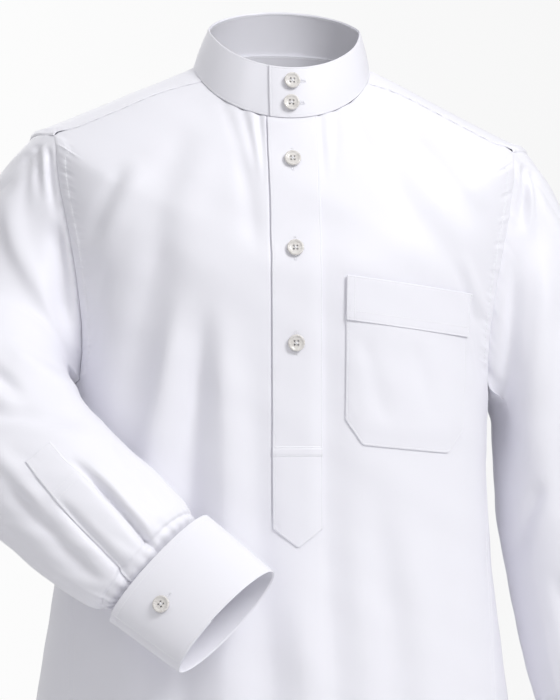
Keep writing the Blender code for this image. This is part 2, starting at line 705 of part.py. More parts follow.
# ------------------------------------------------------------------------------------ collar and cuffs


def collar_point(angle, height):
    """The collar's outer face at an angle from the middle of the front and a share of its height."""
    base = on_section(section_at(0), angle) + np.array((0, 0, COLLAR_RAISE))
    return base + (on_section(COLLAR_TOP, angle) + np.array((COLLAR_SWAY, 0, 0)) - base) * height


def build_collar():
    """The stand collar: one strip right round the neck, its left end buttoned over its right end."""
    lap = math.asin(COLLAR_LAP / section_at(0)["width"])
    angles = np.linspace(-lap, 2 * math.pi + lap, COLLAR_COLUMNS)
    under = smooth_step((angles - 2 * math.pi + COLLAR_UNDER_RAMP * lap) / lap)[:, None]
    outer, inner = [], []
    for height in COLLAR_HEIGHTS:
        ring = np.array([collar_point(angle, height) for angle in angles])
        away = (ring - ring.mean(axis=0)) * (1, 1, 0)
        out = away / np.linalg.norm(away, axis=1)[:, None]
        outer.append(ring - out * under * (BAND + GAP))
        inner.append(outer[-1] - out * BAND)
    outer, inner = np.array(outer), np.array(inner)
    build_solid("collar_band", outer, inner, quads_of(outer.shape), fabric("collar_band", WHITE, 0.85))


def cuff_point(tube, lap_angle, share, along, lift):
    """The cuff's outer face a share of the way round from its over end, and a share of its length along."""
    total = 2 * math.pi + CUFF_LAP
    under = smooth_step((share * total - 2 * math.pi + CUFF_UNDER_RAMP) / CUFF_UNDER_RAMP)
    return tube.point(tube.seam + along, lap_angle + share * total, lift - under * (BAND + GAP))


def build_cuff(name, tube, lap_angle):
    """A buttoned cuff: one strip round the wrist whose ends overlap."""
    outer, inner = [], []
    for along in np.linspace(0, 1, CUFF_ROWS):
        shares = np.linspace(0, 1, CUFF_COLUMNS)
        outer.append([cuff_point(tube, lap_angle, share, along, 0.0) for share in shares])
        inner.append([cuff_point(tube, lap_angle, share, along, -BAND) for share in shares])
    outer, inner = np.array(outer), np.array(inner)
    build_solid(name, outer, inner, quads_of(outer.shape), fabric(name, WHITE, 0.85))


# ------------------------------------------------------------------------------------ buttons


def build_button(name, centre, normal):
    """A round button with a rim and four thread holes, its back at the centre given and facing out."""
    mesh = bmesh.new()
    rings = (
        (BUTTON_RADIUS * 0.80, 0.0),
        (BUTTON_RADIUS * 0.97, BUTTON_THICK * 0.35),
        (BUTTON_RADIUS, BUTTON_THICK * 0.65),
        (BUTTON_RADIUS * 0.86, BUTTON_THICK),
        (BUTTON_RADIUS * 0.62, BUTTON_THICK - BUTTON_DISH),
    )
    turned = []
    for radius, height in rings:
        turned.append([
            mesh.verts.new((radius * math.cos(turn), radius * math.sin(turn), height))
            for turn in np.linspace(0, 2 * math.pi, BUTTON_SIDES, endpoint=False)
        ])
    for lower, upper in zip(turned, turned[1:]):
        for i in range(BUTTON_SIDES):
            j = (i + 1) % BUTTON_SIDES
            mesh.faces.new((lower[i], lower[j], upper[j], upper[i]))
    mesh.faces.new(turned[0][::-1])
    mesh.faces.new(turned[-1])
    bmesh.ops.recalc_face_normals(mesh, faces=mesh.faces)
    button = add_object(name, mesh, fabric(name, PEARL, 0.3))
    drill(button, name)
    up = unit(np.array(normal))
    side = unit(np.cross((0, 0, 1.0), up))
    ahead = np.cross(up, side)
    place = np.eye(4)
    place[:3, 0], place[:3, 1], place[:3, 2], place[:3, 3] = side, ahead, up, centre
    button.data.transform(Matrix(place.tolist()))


def drill(button, name):
    """Cuts the four thread holes through a button that lies flat at the origin."""
    pins = bmesh.new()
    for x in (-HOLE_OFFSET, HOLE_OFFSET):
        for y in (-HOLE_OFFSET, HOLE_OFFSET):
            bmesh.ops.create_cone(
                pins, cap_ends=True, segments=6, radius1=HOLE_RADIUS, radius2=HOLE_RADIUS, depth=4 * BUTTON_THICK,
                matrix=Matrix.Translation((x, y, 0)),
            )
    drill_data = bpy.data.meshes.new("drill")
    pins.to_mesh(drill_data)
    pins.free()
    tool = bpy.data.objects.new("drill", drill_data)
    bpy.data.collections["thobe_robe"].objects.link(tool)
    cut = button.modifiers.new("holes", "BOOLEAN")
    cut.operation = "DIFFERENCE"
    cut.solver = "EXACT"
    cut.object = tool
    bpy.context.view_layer.update()
    shaped = bpy.data.meshes.new_from_object(button.evaluated_get(bpy.context.evaluated_depsgraph_get()))
    button.modifiers.clear()
    button.data = shaped
    bpy.data.objects.remove(tool)
    bpy.data.meshes.remove(drill_data)


def front_place(z):
    """The place, counted in sections, at which the middle of the front is at height z."""
    low, high = 0.0, float(row_of("hip"))
    for _ in range(40):
        middle = (low + high) / 2
        if on_section(section_at(middle), 0)[2] > z:
            low = middle
        else:
            high = middle
    return low


def build_buttons(cuffs):
    """Two buttons on the collar, three down the placket and one on each cuff."""
    for number, height in enumerate(COLLAR_BUTTONS, 1):
        face = collar_point(0, height)
        lean = collar_point(0, height + 0.1) - face
        normal = unit(np.cross((1.0, 0, 0), lean))
        build_button(f"button_collar_{number}", face + normal * GAP, normal)
    for number, z in enumerate(PLACKET_BUTTONS, 1):
        place = front_place(z)
        face = body_point(place, 0)
        lean = body_point(place + 0.1, 0) - face
        normal = unit(np.cross(lean, (1.0, 0, 0)))
        build_button(f"button_front_{number}", face + normal * (GAP * 4 + STRIP), normal)
    for name, (tube, lap_angle) in cuffs.items():
        angle = lap_angle + CUFF_BUTTON_TURN
        place = tube.seam + CUFF_BUTTON_PLACE
        face = tube.point(place, angle)
        ahead = tube.point(place, angle + 0.1) - face
        normal = unit(np.cross(ahead, tube.along(place))) * tube.side
        build_button(f"button_{name}", face + normal * GAP * 3, normal)


# ------------------------------------------------------------------------------------ the whole robe


def build_vent(name, form, sleeve, angles, vent_angle):
    """A sleeve placket: a strip over the slit that runs up the sleeve from its cuff."""
    middles = angles + (np.roll(angles, -1) - angles) % (2 * math.pi) / 2
    turns = np.abs((middles - vent_angle + math.pi) % (2 * math.pi) - math.pi)
    first = int(np.argmin(turns))
    grid = sleeve[-VENT_ROWS:, [first, (first + 1) % len(angles)]].copy()
    normals = form.out_of(grid)
    grid[-1] += (grid[-2] - grid[-1]) * STRIP_INSET
    grid[0, 0] += (grid[1, 0] - grid[0, 0]) * VENT_SLANT
    applied_strip(name, grid, normals, quads_of(grid.shape), GAP)


def main():
    """Builds the robe's pieces in the order in which they are sewn."""
    for item in list(bpy.data.objects):
        bpy.data.objects.remove(item, do_unlink=True)
    bpy.context.scene.collection.children.link(bpy.data.collections.new("thobe_robe"))

    front, yoke = front_grid(), yoke_grid()
    back = back_grid(yoke)
    gores = {side: gore_grid(side) for side in (-1, 1)}
    places = rows_between("neck", "hem")
    slot_end = places.index(row_of("placket_side")) - 1
    slot = (FRONT_COLUMNS.index(PLACKET_RIGHT + PLACKET_LAP), FRONT_COLUMNS.index(PLACKET_LEFT - PLACKET_LAP))
    front_cells = quads_of(front.shape, skip=lambda row, column: row < slot_end and slot[0] <= column < slot[1])
    yoke_cells, back_cells, gore_cells = (quads_of(grid.shape) for grid in (yoke, back, gores[1]))
    tubes = {-1: Tube(RIGHT_ARM, -1), 1: Tube(LEFT_ARM, 1)}
    sleeves, angles = {}, {}
    for side in (-1, 1):
        ring = armhole_ring(front, yoke, back, gores[side], side)
        sleeves[side], angles[side] = sleeve_grid(ring, tubes[side])
    sleeve_cells = {side: quads_of(sleeve.shape, wrap=True) for side, sleeve in sleeves.items()}

    panels = {
        "front_panel": (front, front_cells, -1),
        "back_panel": (back, back_cells, 1),
        "yoke": (yoke, yoke_cells, -1),
    }
    for side, hand in ((-1, "right"), (1, "left")):
        panels[f"side_gore_{hand}"] = (gores[side], gore_cells, -side)
        panels[f"sleeve_{hand}"] = (sleeves[side], sleeve_cells[side], side)
    form = Form()
    for grid, cells, turn in panels.values():
        form.add(grid, cells, turn)
    for name, (grid, cells, turn) in panels.items():
        cloth_panel(name, form, grid, cells, turn)
    build_plackets(form, front)
    build_pocket(form, front)
    build_collar()
    cuffs = {
        "cuff_right": (tubes[-1], RIGHT_LAP),
        "cuff_left": (tubes[1], LEFT_LAP),
    }
    for name, (tube, lap_angle) in cuffs.items():
        build_cuff(name, tube, lap_angle)
    for side, hand, angle in ((-1, "right", RIGHT_VENT), (1, "left", LEFT_VENT)):
        build_vent(f"sleeve_placket_{hand}", form, sleeves[side], angles[side], angle)
    build_buttons(cuffs)


main()
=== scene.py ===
"""The looks of a men's thobe: an ankle-length white cotton robe with a buttoned stand collar, a half placket,
a chest pocket and long cuffed sleeves, filled out as if worn, with nobody in it.

Units are metres. +Z is up, the front faces -Y and the wearer's left is +X. The robe's outer form is worked out
here again, finely, with its creases, seams and stitching, and each piece of cloth is a thin hollow shell on it.
"""

import logging
import math
from dataclasses import dataclass
from enum import Enum

import bmesh
import bpy
import numpy as np
from mathutils import Matrix, Vector

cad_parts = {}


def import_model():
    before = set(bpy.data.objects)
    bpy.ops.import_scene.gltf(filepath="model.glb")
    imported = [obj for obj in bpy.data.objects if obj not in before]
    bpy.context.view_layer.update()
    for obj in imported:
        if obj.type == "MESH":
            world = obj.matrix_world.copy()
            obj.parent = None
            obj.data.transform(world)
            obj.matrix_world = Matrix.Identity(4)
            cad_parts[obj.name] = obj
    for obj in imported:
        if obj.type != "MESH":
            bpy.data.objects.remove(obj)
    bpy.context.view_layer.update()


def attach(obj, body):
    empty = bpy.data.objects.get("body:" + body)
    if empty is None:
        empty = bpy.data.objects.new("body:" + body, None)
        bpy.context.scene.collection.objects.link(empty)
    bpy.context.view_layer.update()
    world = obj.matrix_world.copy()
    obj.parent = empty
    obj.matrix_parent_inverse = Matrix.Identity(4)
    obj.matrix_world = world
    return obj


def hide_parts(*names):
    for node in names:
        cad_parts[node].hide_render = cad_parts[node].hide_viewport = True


Array = np.ndarray
Point2 = tuple[float, float]

LOG = logging.getLogger("thobe")

# ---------------------------------------------------------------------------------------------- sizes

WALL = 0.0008  # cloth of the body and sleeves
STRIP = 0.001  # plackets and pocket
STIFF = 0.0018  # interlined collar and cuffs
LAY = 0.0004  # clear space under a piece that is sewn on another
PLACKET_RIGHT, PLACKET_LEFT = -0.02, 0.023
PLACKET_MIDDLE = (PLACKET_RIGHT + PLACKET_LEFT) / 2
PLACKET_LAP = 0.006
POCKET_INNER, POCKET_OUTER, POCKET_CUT = 0.043, 0.1545, 0.015
CHEST_EDGE = 0.179
COLLAR_LAP, COLLAR_RAISE, COLLAR_SWAY = 0.0225, 0.0004, 0.0025
SHOULDER_TILT, SIDE_RIPPLE, SIDE_FLUTES, SKIRT_TOP = 0.006, 0.009, 10.4, -0.42
LEFT_DRAWN_AT = (0.3, 0.35, 0.385, 0.43, 0.48, 0.56, 0.8)  # heights below the neck
LEFT_DRAWN_BY = (0.0, 0.003, 0.005, 0.01, 0.013, 0.015, 0.015)  # how far the side is drawn in there
FELL = 0.012  # width of the felled band beside an armhole
YOKE_STITCH = 0.0055  # from the yoke's edge to its topstitching

# Sections round the body from the neck seam to the hem. Columns: front, side and back height; half width; depth
# of the widest point, of the front and of the back; squareness; curl; where the pocket's outer side runs; where
# the front and the back panel end.
SECTIONS = {
    "neck": (-0.051, -0.001, 0.015, 0.0775, -0.015, -0.095, 0.055, 2.0, 1.15, 0.055, 0.073, 0.073),
    "collarbone": (-0.074, -0.014, -0.006, 0.108, -0.012, -0.105, 0.076, 2.05, 1.5, 0.083, 0.103, 0.1),
    "mid_shoulder": (-0.1, -0.035, -0.037, 0.152, -0.007, -0.116, 0.096, 2.15, 2.0, 0.119, 0.143, 0.138),
    "outer_shoulder": (-0.124, -0.054, -0.067, 0.194, -0.002, -0.123, 0.11, 2.25, 2.2, 0.152, 0.182, 0.176),
    "shoulder_corner": (-0.138, -0.063, -0.084, 0.214, 0.0, -0.126, 0.115, 2.3, 2.2, 0.168, 0.202, 0.196),
    "shoulder_point": (-0.146, -0.069, -0.098, 0.223, 0.002, -0.128, 0.119, 2.3, 2.2, 0.168, 0.2015, 0.204),
    "arm_upper": (-0.159, -0.106, -0.13, 0.216, 0.002, -0.132, 0.124, 2.4, 2.2, 0.165, 0.1965, 0.201),
    "arm_middle": (-0.172, -0.163, -0.18, 0.206, 0.001, -0.136, 0.127, 2.5, 2.0, 0.159, 0.188, 0.193),
    "pocket_mouth": (-0.186, -0.234, -0.23, 0.192, 0.0, -0.139, 0.128, 2.5, 1.0, 0.1545, 0.179, 0.185),
    "band_edge": (-0.226, -0.266, -0.258, 0.186, 0.0, -0.141, 0.128, 2.5, 1.0, 0.1515, 0.1775, 0.18),
    "armpit": (-0.243, -0.278, -0.272, 0.184, 0.0, -0.1415, 0.127, 2.5, 1.0, 0.151, 0.179, 0.179),
    "pocket_clip": (-0.3085, -0.352, -0.345, 0.1845, 0.0, -0.143, 0.124, 2.5, 1.0, 0.149, 0.18, 0.179),
    "pocket_foot": (-0.3295, -0.368, -0.362, 0.1858, 0.0, -0.1435, 0.123, 2.45, 1.0, 0.149, 0.1805, 0.1795),
    "placket_side": (-0.401, -0.428, -0.425, 0.195, 0.001, -0.145, 0.124, 2.4, 1.0, 0.15, 0.183, 0.1815),
    "placket_tip": (-0.417, -0.442, -0.44, 0.1975, 0.001, -0.1455, 0.1245, 2.4, 1.0, 0.1505, 0.1835, 0.182),
    "hip": (-0.545, -0.56, -0.56, 0.217, 0.002, -0.152, 0.136, 2.3, 1.0, 0.154, 0.187, 0.186),
    "thigh": (-0.7, -0.706, -0.706, 0.238, 0.002, -0.16, 0.145, 2.25, 1.0, 0.159, 0.192, 0.191),
    "knee": (-0.88, -0.884, -0.884, 0.257, 0.0, -0.169, 0.153, 2.2, 1.0, 0.164, 0.197, 0.196),
    "calf": (-1.06, -1.062, -1.062, 0.273, -0.002, -0.177, 0.16, 2.2, 1.0, 0.168, 0.201, 0.2),
    "shin": (-1.24, -1.241, -1.241, 0.286, -0.004, -0.184, 0.167, 2.2, 1.0, 0.172, 0.205, 0.204),
    "hem": (-1.42, -1.42, -1.42, 0.298, -0.006, -0.191, 0.174, 2.2, 1.0, 0.176, 0.209, 0.208),
}
PLACES = {name: float(row) for row, name in enumerate(SECTIONS)}
COLLAR_TOP = (-0.006, 0.0336, 0.0566, 0.0665, -0.015, -0.086, 0.046, 2.0, 1.15)

# The yoke's columns on one side, from its front seam to the middle of the back: how far round each is at the
# neck and at the outer edge, and the section that its outer end reaches.
YOKE_COLUMNS = (
    (0.0, 0.0, 4.0), (0.08, 0.09, 4.55), (0.17, 0.17, 5.0), (0.26, 0.25, 5.3), (0.36, 0.36, 5.75),
    (0.52, 0.56, 5.45), (0.68, 0.72, 5.3), (0.84, 0.86, 5.22), (1.0, 1.0, 5.2),
)
YOKE_CORNER = 4

# Sections across a sleeve: its edge on the body's side, its outer edge, and its half depth.
LEFT_ARM = (
    (0.1925, 0.003, -0.318, 0.2985, 0.004, -0.292, 0.069),
    (0.196, 0.006, -0.388, 0.313, 0.006, -0.366, 0.07),
    (0.2075, -0.002, -0.468, 0.327, -0.002, -0.45, 0.064),
    (0.2195, -0.014, -0.538, 0.336, -0.014, -0.522, 0.056),
    (0.226, -0.021, -0.57, 0.341, -0.021, -0.555, 0.046),
    (0.23, -0.025, -0.584, 0.3392, -0.025, -0.569, 0.0338),
    (0.24, -0.04, -0.656, 0.348, -0.04, -0.641, 0.0338),
)
RIGHT_ARM = (
    (-0.194, -0.05, -0.29, -0.314, -0.036, -0.232, 0.068),
    (-0.18, -0.086, -0.303, -0.328, -0.078, -0.29, 0.064),
    (-0.168, -0.112, -0.309, -0.32, -0.11, -0.342, 0.058),
    (-0.157, -0.132, -0.3177, -0.286, -0.14, -0.379, 0.052),
    (-0.1385, -0.144, -0.334, -0.248, -0.156, -0.408, 0.047),
    (-0.1137, -0.156, -0.3547, -0.211, -0.171, -0.44, 0.042),
    (-0.0885, -0.167, -0.378, -0.1755, -0.188, -0.465, 0.037),
    (-0.0775, -0.1725, -0.3882, -0.1592, -0.1937, -0.4716, 0.0292),
    (-0.0246, -0.205, -0.4335, -0.104, -0.227, -0.51, 0.0292),
)
HEAD_SPRING = 0.8

# ------------------------------------------------------------------------------------------- named options


class Side(Enum):
    """The wearer's right and left."""

    RIGHT = -1
    LEFT = 1

    @property
    def word(self) -> str:
        """The side's name as pieces use it."""
        return self.name.lower()


class Edge(Enum):
    """The edges of a grid of points."""

    FIRST_COLUMN = "first_column"
    LAST_COLUMN = "last_column"
    FIRST_ROW = "first_row"
    LAST_ROW = "last_row"


class Held(Enum):
    """How a piece of cloth is held, in the words the frame takes."""

    HUNG = "hung"
    STRETCHED = "stretched"
    FOLDED = "folded"


# ------------------------------------------------------------------------------------------- number work


def unit(vectors: Array) -> Array:
    """Vectors at length 1, along the last axis."""
    return vectors / np.maximum(np.linalg.norm(vectors, axis=-1, keepdims=True), 1e-12)


def smooth(share: Array | float) -> Array:
    """0 below 0, 1 above 1, and an even curve between."""
    share = np.clip(share, 0, 1)
    return share * share * (3 - 2 * share)


def waves(at: Array, lengths: tuple[float, ...], seed: int) -> Array:
    """An uneven ripple between about -1 and 1.

    Args:
        at: Distances along the ripple.
        lengths: The wave lengths that are mixed.
        seed: Picks the phases.

    Returns:
        The ripple's height at each distance.
    """
    phases = np.random.default_rng(seed).uniform(0, 2 * math.pi, len(lengths))
    total = sum(np.sin(2 * math.pi * at / length + phase) for length, phase in zip(lengths, phases))
    return total / math.sqrt(len(lengths))


def arc(points: Array) -> Array:
    """Distance along a line of points, from its first."""
    return np.concatenate([[0.0], np.cumsum(np.linalg.norm(np.diff(points, axis=0), axis=1))])


def graded(marks: list[tuple[float, float]]) -> Array:
    """Positions whose spacing changes evenly between marks.

    Args:
        marks: Each a position and the spacing wanted there, in order.

    Returns:
        Positions from the first mark to the last.
    """
    fine = np.linspace(marks[0][0], marks[-1][0], 4000)
    spacing = np.interp(fine, [mark[0] for mark in marks], [mark[1] for mark in marks])
    count = np.concatenate([[0.0], np.cumsum(np.diff(fine) / ((spacing[1:] + spacing[:-1]) / 2))])
    return np.interp(np.linspace(0, count[-1], max(2, int(round(count[-1])) + 1)), count, fine)


class Track:
    """Values that run smoothly through the rows of a table without overshooting them."""

    def __init__(self, rows: tuple[tuple[float, ...], ...] | list[tuple[float, ...]]) -> None:
        """Keeps the rows and works out the slope at each."""
        self.values = np.array(rows, float)
        steps = np.diff(self.values, axis=0)
        self.slopes = np.zeros_like(self.values)
        self.slopes[0], self.slopes[-1] = steps[0], steps[-1]
        before, after = steps[:-1], steps[1:]
        same = before * after > 0
        self.slopes[1:-1] = np.where(same, 2 * before * after / np.where(same, before + after, 1), 0)

    def at(self, place: Array | float) -> Array:
        """The values at places counted in rows.

        Args:
            place: One place or many.

        Returns:
            The table's columns at each place, along a new last axis.
        """
        place = np.asarray(place, float)
        row = np.clip(place.astype(int), 0, len(self.values) - 2)
        share = (place - row)[..., None]
        start, slope, after = self.values[row], self.slopes[row], self.slopes[row + 1]
        rise = self.values[row + 1] - start
        bend = 3 * rise - 2 * slope - after
        return start + share * slope + share**2 * bend + share**3 * (slope + after - 2 * rise)


# ------------------------------------------------------------------------------------------- creases


@dataclass(frozen=True)
class Crease:
    """A soft ridge or trough in the cloth, laid out along a path as seen from the front or the back.

    The path's points are x and z. height is above the cloth for a ridge and negative for a trough. reach is its
    half width on the side of smaller x and on the side of larger x, for a path that runs down.
    """

    path: tuple[Point2, ...]
    height: float
    reach: Point2
    wide: float = 1.0
    wide_by: float = 1.0
    rise: float = 0.25
    fall: float = 0.3

    def line(self) -> Array:
        """The path as a smooth line of many points.

        Returns:
            Points of x and z.
        """
        marks = np.array(self.path)
        if len(marks) == 2:
            return np.linspace(marks[0], marks[1], 5)
        padded = np.vstack([2 * marks[0] - marks[1], marks, 2 * marks[-1] - marks[-2]])
        steps = 6
        line = []
        for first, second, third, fourth in zip(padded, padded[1:], padded[2:], padded[3:]):
            for t in np.arange(steps) / steps:
                line.append(
                    0.5 * (2 * second + (third - first) * t + (2 * first - 5 * second + 4 * third - fourth) * t**2
                           + (3 * second - first - 3 * third + fourth) * t**3)
                )
        return np.array(line + [marks[-1]])

    def lift(self, seen: Array) -> Array:
        """How far the crease moves the cloth out at points seen from the front or the back.

        Args:
            seen: Points of x and z, along the last axis.

        Returns:
            The lift in metres at each point.
        """
        line = self.line()
        limit = 3.0 * max(self.reach) * max(1.0, self.wide)
        flat = seen.reshape(-1, 2)
        near = np.all((flat > line.min(0) - limit) & (flat < line.max(0) + limit), axis=1)
        total = np.zeros(len(flat))
        if not near.any():
            return total.reshape(seen.shape[:-1])
        points = flat[near]
        along = arc(line)
        best = np.full(len(points), np.inf)
        share, sign = np.zeros(len(points)), np.ones(len(points))
        for row, (start, end) in enumerate(zip(line, line[1:])):
            step = end - start
            away = points - start
            t = np.clip(away @ step / (step @ step), 0, 1)
            gap = np.linalg.norm(away - t[:, None] * step, axis=1)
            closer = gap < best
            best = np.where(closer, gap, best)
            share = np.where(closer, (along[row] + t * (along[row + 1] - along[row])) / along[-1], share)
            turn = step[0] * away[:, 1] - step[1] * away[:, 0]
            sign = np.where(closer, np.sign(turn), sign)
        grown = 1 + (self.wide - 1) * smooth(share / self.wide_by)
        reach = np.where(sign < 0, self.reach[0], self.reach[1]) * grown
        fade = smooth(share / max(self.rise, 1e-6)) if self.rise else 1.0
        fade = fade * (smooth((1 - share) / self.fall) if self.fall else 1.0)
        total[near] = self.height * fade * np.exp(-((best / reach) ** 2))
        return total.reshape(seen.shape[:-1])


def lift_of(creases: tuple[Crease, ...], points: Array) -> Array:
    """The lift of several creases together at points in space, seen along Y."""
    seen = points[..., [0, 2]]
    return sum((crease.lift(seen) for crease in creases), np.zeros(points.shape[:-1]))


def creases(*rows: tuple) -> tuple[Crease, ...]:
    """Creases from rows in millimetres.

    Args:
        rows: Each a path as x and z in turn, a height, a reach to each side, and a crease's other values.

    Returns:
        The creases, in metres.
    """
    made = []
    for path, height, reach, *shape in rows:
        points = tuple((x / 1000, z / 1000) for x, z in zip(path[::2], path[1::2]))
        made.append(Crease(points, height / 1000, (reach[0] / 1000, reach[1] / 1000), *shape))
    return tuple(made)


FRONT_CREASES = creases(
    # flutes that fall from the chest to the hem
    ((-97, -192, -108, -267, -118, -334, -128, -428, -141, -547, -153, -950, -160, -1420),
     8.5, (9, 10), 2.4, 0.22, 0.07, 0.0),
    ((-77, -196, -83, -275, -91, -351, -96, -427, -101, -545, -108, -950, -112, -1420),
     -8.5, (9, 8), 2.1, 0.25, 0.08, 0.0),
    ((-62, -196, -60, -292, -57, -376, -56, -461, -59, -545, -64, -950, -68, -1420),
     5.5, (8, 13), 2.0, 0.25, 0.08, 0.0),
    ((-36, -215, -34, -360, -32, -427, -28, -494, -24, -560, -26, -950, -28, -1420),
     -5.2, (13, 11), 1.7, 0.3, 0.2, 0.0),
    ((0, -420, 4, -495, 9, -560, 10, -950, 10, -1420), 4.5, (13, 13), 1.6, 0.3, 0.1, 0.0),
    ((25, -110, 27, -292, 28, -394, 31, -461, 37, -560, 44, -950, 48, -1420),
     -4.6, (8, 14), 1.6, 0.3, 0.16, 0.0),
    ((48, -340, 54, -445, 63, -547, 78, -950, 85, -1420), 2.6, (15, 18), 1.7, 0.3, 0.12, 0.0),
    ((64, -342, 75, -428, 88, -548, 108, -950, 121, -1420), -6.2, (17, 14), 1.7, 0.3, 0.12, 0.0),
    ((92, -351, 103, -446, 115, -550, 141, -950, 158, -1420), 1.8, (15, 16), 1.7, 0.3, 0.12, 0.0),
    ((116, -353, 128, -448, 139, -552, 169, -950, 186, -1420), -1.6, (12, 12), 1.7, 0.3, 0.12, 0.0),
    # the hollow over the wearer's right chest, and what leads into it
    ((-100, -125, -118, -180, -131, -240, -146, -330), -7.2, (14, 19), 1.1),
    ((-140, -84, -152, -108, -166, -138, -176, -168), -2.6, (7, 6.5), 1.3),
    ((-124, -82, -141, -118, -156, -152, -166, -185), 2.2, (8, 9), 1.3),
    ((-86, -50, -106, -100, -122, -150, -132, -190), -1.9, (12, 11), 1.3),
    ((-60, -56, -83, -105, -101, -155, -112, -200), 1.5, (12, 13), 1.3),
    ((-158, -170, -168, -230, -172, -300), -1.6, (6, 6), 1.2),
    # small folds that spread from the collar
    ((-27, -46, -25.5, -78, -25, -118), -1.4, (2.6, 2.4), 1.2, 1.0, 0.0, 0.8),
    ((-41, -42, -34, -78, -28, -128), -1.3, (3.2, 2.8), 1.5, 1.0, 0.0, 0.8),
    ((-34, -44, -30, -80, -27, -120), 1, (2.6, 2.6), 1.4, 1.0, 0.0, 0.8),
    ((-56, -38, -45, -80, -36, -135), -1.1, (4.8, 4), 1.5, 1.0, 0.0, 0.8),
    ((25.5, -46, 26.5, -78, 28, -119), -1, (2.4, 3.2), 1.3, 1.0, 0.0, 0.8),
    ((40, -42, 38, -76, 35, -118), -0.9, (3.4, 4), 1.4, 1.0, 0.0, 0.8),
    ((56, -36, 64, -66, 76, -96), -1.2, (4, 4), 1.5, 1.0, 0.0, 0.8),
    ((-46, -75, -38, -115, -33, -175), -1.6, (8, 6), 1.3),
    # soft folds from the wearer's left shoulder towards the armhole and the pocket
    ((94, -50, 120, -82, 142, -112, 160, -146), -2.2, (8, 7), 1.3),
    ((112, -47, 138, -80, 160, -108, 174, -138), 2, (7, 8), 1.3),
    ((76, -90, 106, -134, 134, -172, 152, -205), -1.4, (10, 9), 1.3),
    ((86, -70, 118, -112, 146, -150, 165, -184), 1.3, (9, 10), 1.2),
    ((147, -163, 156, -186, 166, -210, 176, -226), 1.8, (4, 4), 1.5, 1.0, 0.3, 0.3),
    ((140, -170, 149, -194, 160, -220, 172, -240), -1.8, (5, 4), 1.5, 1.0, 0.3, 0.3),
    ((158, -225, 164, -250, 172, -290), -1.4, (4, 5), 1.3),
    ((55, -232, 66, -272, 82, -325), -1.4, (8, 8), 1.2),
    ((99, -236, 111, -280, 124, -322), -1.2, (8, 8), 1.2),
)
BACK_CREASES = creases(
    ((-100, -150, -122, -300, -140, -547, -158, -950, -165, -1420), 10, (13, 11), 1.8, 0.3, 0.2, 0.0),
    ((-76, -190, -86, -340, -97, -547, -110, -950, -116, -1420), -11.5, (9, 11), 1.7, 0.3, 0.18, 0.0),
    ((-44, -125, -48, -300, -53, -547, -58, -950, -62, -1420), 10.5, (11, 12), 1.6, 0.3, 0.2, 0.0),
    ((-8, -270, -10, -420, -8, -600, -13, -1000, -12, -1420), -11, (11, 9.5), 1.7, 0.3, 0.22, 0.0),
    ((33, -120, 34, -300, 40, -547, 40, -950, 42, -1420), 11, (10, 13), 1.6, 0.3, 0.22, 0.0),
    ((66, -230, 74, -380, 80, -560, 90, -950, 95, -1420), -11, (11, 9), 1.7, 0.3, 0.18, 0.0),
    ((104, -160, 118, -320, 130, -547, 146, -950, 151, -1420), 10, (11, 13), 1.8, 0.3, 0.2, 0.0),
    ((-152, -120, -140, -180, -130, -260), -3.6, (7, 6), 1.4),
    ((150, -125, 142, -190, 128, -270), -4, (6, 7), 1.4),
    ((-20, -90, -60, -115, -110, -120), -1.6, (7, 7), 1.3),
    ((24, -95, 70, -118, 120, -130), -1.8, (7, 6), 1.3),
)
RIGHT_SLEEVE_FRONT = creases(
    ((-240, -105, -236, -156, -215, -199, -196, -237, -180, -269), 5, (8, 11), 1.2),
    ((-216, -70, -216, -99, -213, -128), -3, (3.4, 3.4), 1.6, 1.0, 0.08, 0.6),
    ((-207, -74, -204, -108, -199, -142), -3.6, (3.4, 3), 1.6, 1.0, 0.08, 0.6),
    ((-211, -72, -210, -103, -206, -135), 2, (2.8, 2.8), 1.6, 1.0, 0.08, 0.6),
    ((-224, -76, -227, -110, -228, -145), -2.4, (4, 4), 1.6, 1.0, 0.08, 0.6),
    ((-201, -134, -195, -182, -190, -240), -6, (9, 5), 1.2),
    ((-300, -235, -272, -254, -246, -272, -226, -292), -6, (7, 5), 1.1),
    ((-290, -300, -250, -302, -216, -305, -170, -311), -4.5, (6, 8), 1.1),
    ((-250, -240, -222, -262, -196, -280, -170, -297), 3.6, (8, 8), 1.1),
    ((-298, -270, -262, -286, -226, -296), 4, (7, 7), 1.1),
    ((-195, -335, -172, -356, -146, -385, -121.5, -414.5), -6, (4.2, 3.2), 1.1, 1.0, 0.35, 0.08),
    ((-184, -336, -160, -360, -136, -386, -114, -409), 4, (5, 6), 1.0, 1.0, 0.35, 0.2),
    ((-207, -366, -184, -391, -160, -417, -139, -438.5), -5, (5, 4.2), 1.1, 1.0, 0.3, 0.08),
    ((-156, -325, -128, -351, -103, -378), -2.6, (6, 5), 1.1),
    ((-249, -349, -222, -384, -186, -424, -160, -450), -4.5, (8, 6), 1.1),
    ((-262, -320, -236, -352, -206, -390), 3.2, (8, 8), 1.1),
)
RIGHT_SLEEVE_BACK = creases(
    ((-232, -90, -250, -140, -262, -195), -4, (6, 6), 1.4),
    ((-212, -100, -222, -160, -240, -215), -3.4, (5, 6), 1.4),
    ((-322, -262, -290, -268, -240, -262), -4, (7, 7), 1.1),
    ((-318, -305, -280, -330, -220, -345), -3.6, (7, 7), 1.1),
    ((-270, -350, -230, -385, -180, -430), -3, (6, 6), 1.1),
)
